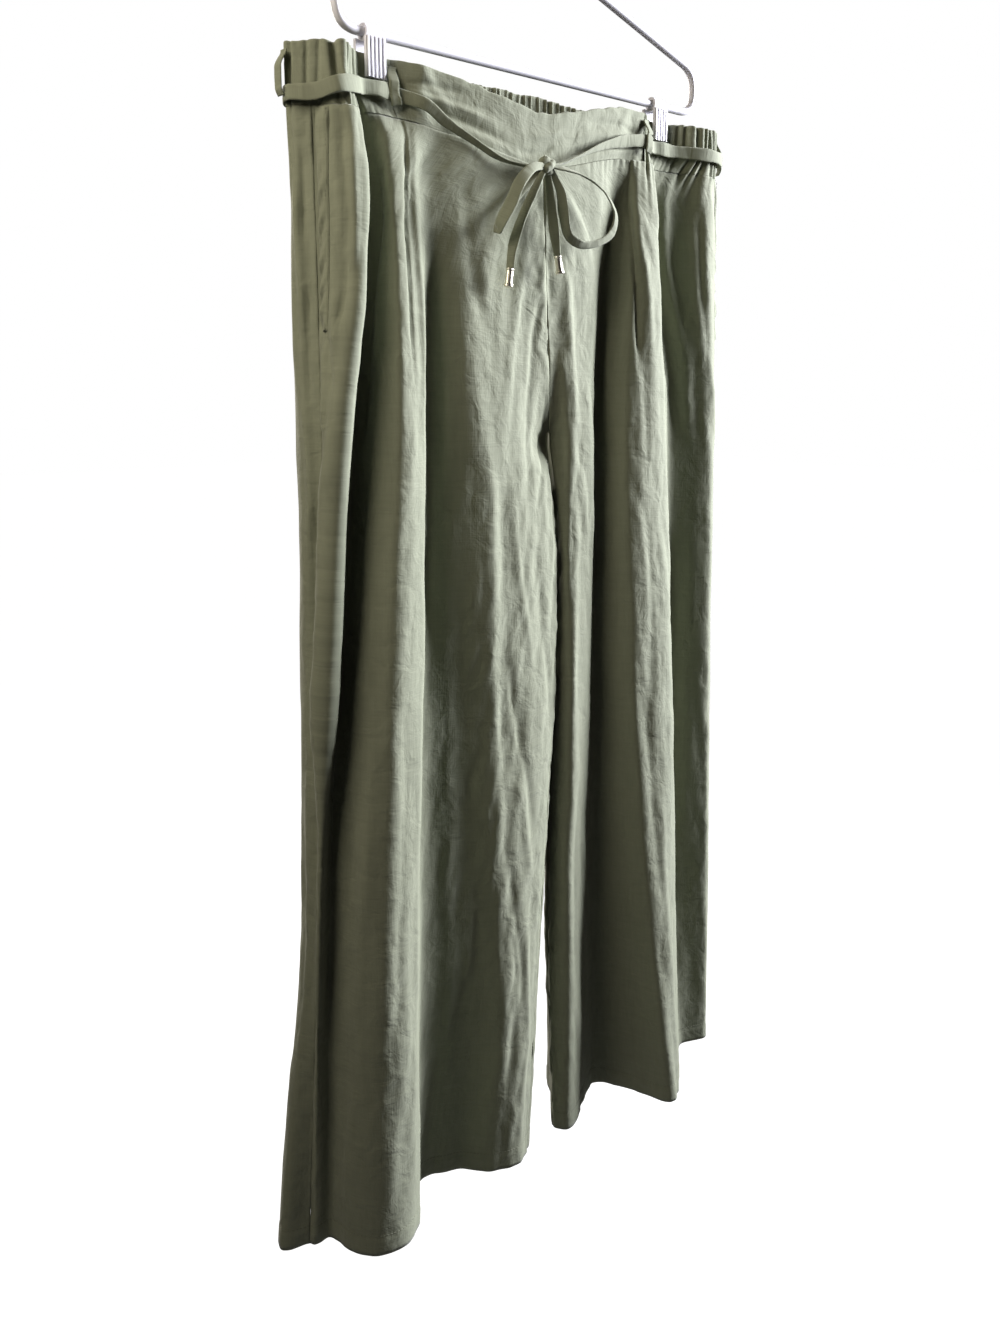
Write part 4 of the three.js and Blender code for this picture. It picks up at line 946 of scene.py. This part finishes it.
def build_pocket(node, panel, seed):
    """The strip with its free edge twisted and gaping; returns the line that it is stitched along."""
    made = MADE[panel]
    away = np.linspace(EDGE_FROM, EDGE_TO, 30)
    down = np.linspace(POCKET_TOP, POCKET_BOTTOM, 90)
    base, normals = on_panel(made, away, down)
    along = (away - EDGE_FROM)[:, None] + 0 * down[None]
    gape = 1.9 * bell(along / 3.0) * (0.5 + 0.5 * np.sin(down / 17.0 + seed)[None])
    topstitch = -0.6 * bell((along - EDGE_STITCHED) / 1.0)
    ends = smooth(0, 10, down - POCKET_TOP) * smooth(0, 8, POCKET_BOTTOM - down)
    turn = 2 * noise(down[None] / 40, 0 * along, seed)
    twist = 1.9 * np.sin(down[None] / 3.4 + along / 2.6 + turn)
    twist = twist * bell((along - 3) / 4.5) * smooth(70, 120, down)[None]
    fine = 0.4 * noise(along / 8, down[None] / 14, seed)
    relief = 1.1 + (1.6 + gape) * ends[None] + topstitch + twist + fine
    relief *= 1 - 0.8 * smooth(0.8, 1, along / (EDGE_TO - EDGE_FROM))
    points = base + normals * relief[..., None]
    faces = grid_faces(*along.shape, winding(panel) < 0)
    cloth_piece(node, points, faces, (along + 900 * seed, -down), single=True)
    line, facing = on_panel(made, np.array([EDGE_FROM + EDGE_STITCHED]), down)
    return line[0] + facing[0] * 2.2, facing[0]


# Hanger

BAR_Z = -204.0
BAR_RADIUS = 3.5
HANGER_HALF_WIDTH = 217.0
END_RADIUS = 20.0
END_PULL = 14
NECK_Z = -104.0
NECK_SIDE = 7.2
HOOK_WIRE = 1.6
HOOK_BEND = 20.0
HOOK_DEGREES = (222, 195, 165, 135, 112, 90, 68, 45, 15, -15, -35)


def tube(name, path, radius, made_of, slot, node, sides):
    path = np.asarray(path, float)
    side = np.array([0.0, -1.0, 0.0])
    over = unit(np.cross(unit(np.gradient(path, axis=0)), side))
    angle = np.linspace(0, 2 * np.pi, sides, endpoint=False)[None, :, None]
    points = path[:, None] + radius * (np.cos(angle) * side + np.sin(angle) * over[:, None])
    finish_piece(new_mesh(name, points, tube_faces(len(path), sides)), made_of, slot, node)


def bezier(a, b, c, d, steps):
    t = np.linspace(0, 1, steps + 1)[:-1, None]
    a, b, c, d = (np.array(p, float) for p in (a, b, c, d))
    return (1 - t) ** 3 * a + 3 * (1 - t) ** 2 * t * b + 3 * (1 - t) * t * t * c + t ** 3 * d


def build_hanger():
    bend = HANGER_HALF_WIDTH - END_RADIUS
    middle, top = BAR_Z + END_RADIUS, BAR_Z + 2 * END_RADIUS
    half = [np.array([[NECK_SIDE, 0, NECK_Z]]) * (1 - t) + np.array([[bend, 0, top + 4]]) * t
            for t in np.linspace(0, 1, 14)[:-1]]
    half.append(bezier((bend, 0, top + 4), (bend + END_PULL, 0, top + 0.4),
                       (HANGER_HALF_WIDTH, 0, middle + END_PULL), (HANGER_HALF_WIDTH, 0, middle), 12))
    half.append(bezier((HANGER_HALF_WIDTH, 0, middle), (HANGER_HALF_WIDTH, 0, middle - END_PULL),
                       (bend + END_PULL, 0, BAR_Z), (bend, 0, BAR_Z), 12))
    half.append(np.array([[x, 0, BAR_Z] for x in np.linspace(bend, 0, 20)]))
    half = np.concatenate(half)
    other = half[:-1][::-1] * np.array([-1, 1, 1])
    path = np.concatenate([half, other])
    tube("hanger_frame_bar", path, BAR_RADIUS, PLASTIC, "plastic", "hanger_frame", 16)
    centre = HOOK_WIRE - HOOK_BEND
    rows = [(0, 0, NECK_Z + 12.3), (0, 0, centre - 46)]
    for degrees in HOOK_DEGREES:
        turn = math.radians(degrees)
        rows.append((HOOK_BEND * math.cos(turn), 0, centre + HOOK_BEND * math.sin(turn)))
    path, _ = through_points(rows, 8)
    tube("hanger_hook_wire", path, HOOK_WIRE, METAL, "metal", "hanger_hook", 12)


# Stitching: short raised threads

STITCH = 2.6
STITCH_GAP = 1.0
THREAD_RADIUS = 0.24
THREAD_SIDES = 5
# Along a stitch: how far each of its rings is, and how thick.
THREAD_RINGS = ((0, 0.35), (0.2, 1.0), (0.8, 1.0), (1, 0.35))
BEAD_FACES = tube_faces(len(THREAD_RINGS), THREAD_SIDES)


def stitches(name, lines):
    """Threads along lines of (points, normals), each a small closed bead."""
    points, faces = [], []
    for path, normal in lines:
        run = run_along(path)
        for start in np.arange(0.5, run[-1] - STITCH, STITCH + STITCH_GAP):
            at = np.array([start + STITCH * share for share, _ in THREAD_RINGS])
            p, n = between(at, run, path), unit(between(at, run, normal))
            b = np.cross(unit(p[-1] - p[0]), n[1])
            first = len(points)
            for q, m, (_, size) in zip(p, n, THREAD_RINGS):
                for turn in range(THREAD_SIDES):
                    a = 2 * math.pi * turn / THREAD_SIDES
                    points.append(q + (math.cos(a) * b + math.sin(a) * m) * THREAD_RADIUS * size)
            faces += [[first + k for k in face] for face in BEAD_FACES]
    finish_piece(new_mesh(name, points, faces), THREAD, "cloth")


def hem_line(made):
    row = np.argmin(np.abs(made["down"] - OUTSEAM + HEM))
    return made["points"][:, row] + 0.5 * made["normals"][:, row], made["normals"][:, row]


# Materials

def material(name, colour, roughness, metallic=0.0):
    made = bpy.data.materials.new(name)
    made.use_nodes = True
    shader = made.node_tree.nodes["Principled BSDF"]
    shader.inputs["Base Color"].default_value = (*colour, 1)
    shader.inputs["Roughness"].default_value = roughness
    shader.inputs["Metallic"].default_value = metallic
    return made, shader


def add_node(tree, kind, values=None, links=None, **settings):
    """A shader node with its settings, its inputs' values and what its inputs are linked from."""
    made = tree.nodes.new("ShaderNode" + kind)
    for key, value in settings.items():
        setattr(made, key, value)
    for key, value in (values or {}).items():
        made.inputs[key].default_value = value
    for key, output in (links or {}).items():
        tree.links.new(output, made.inputs[key])
    return made


# How the weave's noise is stretched for each kind of thread.
THREAD_SCALES = (("warp", (900, 60, 1)), ("weft", (60, 900, 1)), ("slub", (260, 24, 1)),
                 ("slub across", (24, 260, 1)))


def linen(name, colour, shade):
    """Matt linen: uneven warp and weft threads, faint cloudiness and fine crumples."""
    made, shader = material(name, colour, 0.86)
    tree = made.node_tree
    shader.inputs["Sheen Weight"].default_value = 0.12
    shader.inputs["Sheen Roughness"].default_value = 0.6
    shader.inputs["Specular IOR Level"].default_value = 0.2
    uv = add_node(tree, "TexCoord").outputs["UV"]
    weave = None
    for kind, scale in THREAD_SCALES:
        stretched = add_node(tree, "Mapping", {"Scale": scale}, {"Vector": uv})
        threads = add_node(tree, "TexNoise", {"Scale": 1.0, "Detail": 1.0},
                           {"Vector": stretched.outputs["Vector"]}, name=kind).outputs["Fac"]
        if weave:
            threads = add_node(tree, "Math", links={0: weave, 1: threads}, operation="ADD").outputs[0]
        weave = threads
    spread = add_node(tree, "MapRange", {"From Min": 1.3, "From Max": 2.7}, {"Value": weave})
    cloud = add_node(tree, "TexNoise", {"Scale": 14, "Detail": 3}, {"Vector": uv})
    both = add_node(tree, "Mix", {"Factor": 0.35},
                    {"A": spread.outputs["Result"], "B": cloud.outputs["Fac"]})
    tint = add_node(tree, "Mix", {"A": (*shade, 1), "B": (*colour, 1)},
                    {"Factor": both.outputs["Result"]}, data_type="RGBA")
    tree.links.new(tint.outputs["Result"], shader.inputs["Base Color"])
    crumple = add_node(tree, "TexNoise", {"Scale": 55, "Detail": 3, "Distortion": 0.6},
                       {"Vector": uv})
    coarse = add_node(tree, "Bump", {"Strength": 0.5, "Distance": 0.0035},
                      {"Height": crumple.outputs["Fac"]})
    fine = add_node(tree, "Bump", {"Strength": 0.35, "Distance": 0.0004},
                    {"Height": weave, "Normal": coarse.outputs["Normal"]})
    tree.links.new(fine.outputs["Normal"], shader.inputs["Normal"])
    return made


LINEN = linen("linen", (0.214, 0.227, 0.16), (0.164, 0.175, 0.12))
THREAD, _ = material("thread", (0.15, 0.155, 0.11), 0.8)
PLASTIC, _ = material("white_plastic", (0.64, 0.63, 0.68), 0.4)
METAL, _ = material("pale_metal", (0.82, 0.77, 0.66), 0.28, 1.0)


# Build

MADE = {panel: build_panel(panel, seed * 20) for seed, panel in enumerate(PANELS, start=1)}
build_band("band_front", FRONT_BAND_FROM, FRONT_BAND_TO, 1.6, front_relief)
build_band("band_elastic", ELASTIC_FROM, ELASTIC_TO, 0.9, elastic_relief)
build_belt()
for seed, (name, rows, width) in enumerate((
        ("bow_loop_right", BOW_RIGHT, BELT_WIDTH), ("bow_loop_left", BOW_LEFT, BELT_WIDTH),
        ("tail_right", TAIL_RIGHT, TAIL_WIDTH), ("tail_left", TAIL_LEFT, TAIL_WIDTH)), start=5):
    path, across, share = leaning(rows)
    ribbon(name, path, across, width * share, BOW_THICK, seed)
build_knot()
for seed, loop in enumerate(BELT_LOOPS, start=12):
    build_loop(*loop, seed)
stitches("pocket_stitches", [build_pocket(*pocket) for pocket in POCKETS])
stitches("hem_stitches", [hem_line(made) for made in MADE.values()])
build_hanger()

for starts, finish in ((("clip_", "hanger_neck"), PLASTIC), (("tip_",), METAL)):
    for name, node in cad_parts.items():
        if name.startswith(starts):
            for place_slot in node.material_slots:
                place_slot.material = finish


# Stage, light and camera

FLOOR_HALF = 12.0
FLOOR_Z = WAIST_Z * MM - OUTSEAM * MM - 0.16


def show_camera(tree, unseen, seen, output):
    """Shows one shader to the camera alone, so that the page is white and lights nothing."""
    choose = add_node(tree, "MixShader", links={
        0: add_node(tree, "LightPath").outputs["Is Camera Ray"], 1: unseen, 2: seen})
    tree.links.new(choose.outputs["Shader"], tree.nodes[output].inputs["Surface"])


def build_stage():
    mesh = bpy.data.meshes.new("floor")
    corners = ((-1, -1), (1, -1), (1, 1), (-1, 1))
    mesh.from_pydata([(x * FLOOR_HALF, y * FLOOR_HALF, FLOOR_Z) for x, y in corners], [],
                     [(0, 1, 2, 3)])
    floor = bpy.data.objects.new("floor", mesh)
    bpy.context.scene.collection.objects.link(floor)
    pale, shader = material("pale_floor", (0.1, 0.1, 0.1), 0.9)
    tree = pale.node_tree
    matt = shader.outputs["BSDF"]
    glow = add_node(tree, "Emission", {"Strength": 1.0})
    both = add_node(tree, "AddShader", links={0: glow.outputs["Emission"], 1: matt})
    show_camera(tree, matt, both.outputs["Shader"], "Material Output")
    mesh.materials.append(pale)
    world = bpy.data.worlds.new("studio")
    bpy.context.scene.world = world
    world.use_nodes = True
    tree = world.node_tree
    back = tree.nodes["Background"]
    back.inputs["Color"].default_value = (1.0, 0.87, 0.7, 1)
    back.inputs["Strength"].default_value = 0.02
    page = add_node(tree, "Background", {"Color": (1, 1, 1, 1)})
    show_camera(tree, back.outputs["Background"], page.outputs["Background"], "World Output")


# Name, place, target, side of the square, watts, colour and spread in degrees
LIGHTS = (
    ("window", (2.41, -0.99, 0.28), (-0.17, 0.0, -0.4), 1.1, 74, (0.92, 0.935, 1.0), 76),
    ("room", (-0.95, -0.1, 0.1), (-0.25, 0.0, -0.38), 0.6, 4.4, (1.0, 0.91, 0.76), 120),
    ("back room", (0.6, 2.3, 0.3), (0.05, 0.0, -0.55), 1.4, 34, (1.0, 0.94, 0.86), 100),
)
CAMERA_AT = (-0.7806, -0.7854, -0.4685)
CAMERA_AZIMUTH, CAMERA_PITCH = math.radians(43.06), math.radians(13.68)
CAMERA_LENS = 36 * 1150 / 1330


def add_light(name, spot, target, size, watts, colour, spread):
    data = bpy.data.lights.new(name, "AREA")
    data.shape = "RECTANGLE"
    data.size = data.size_y = size
    data.energy = watts
    data.color = colour
    data.spread = math.radians(spread)
    lamp = bpy.data.objects.new(name, data)
    bpy.context.scene.collection.objects.link(lamp)
    lamp.location = spot
    facing = Vector(target) - Vector(spot)
    lamp.rotation_euler = facing.to_track_quat("-Z", "Y").to_euler()
    lamp.visible_camera = False


def build_camera():
    across, ahead = math.cos(CAMERA_AZIMUTH), math.sin(CAMERA_AZIMUTH)
    right = Vector((across, -ahead, 0))
    flat = Vector((ahead, across, 0))
    forward = flat * math.cos(CAMERA_PITCH) + Vector((0, 0, -math.sin(CAMERA_PITCH)))
    up = right.cross(forward)
    data = bpy.data.cameras.new("camera")
    data.lens = CAMERA_LENS
    camera = bpy.data.objects.new("camera", data)
    bpy.context.scene.collection.objects.link(camera)
    turn = Matrix((right, up, -forward)).transposed()
    camera.matrix_world = Matrix.Translation(CAMERA_AT) @ turn.to_4x4()
    bpy.context.scene.camera = camera


build_stage()
for light in LIGHTS:
    add_light(*light)
build_camera()
bpy.context.scene.view_settings.view_transform = "Standard"
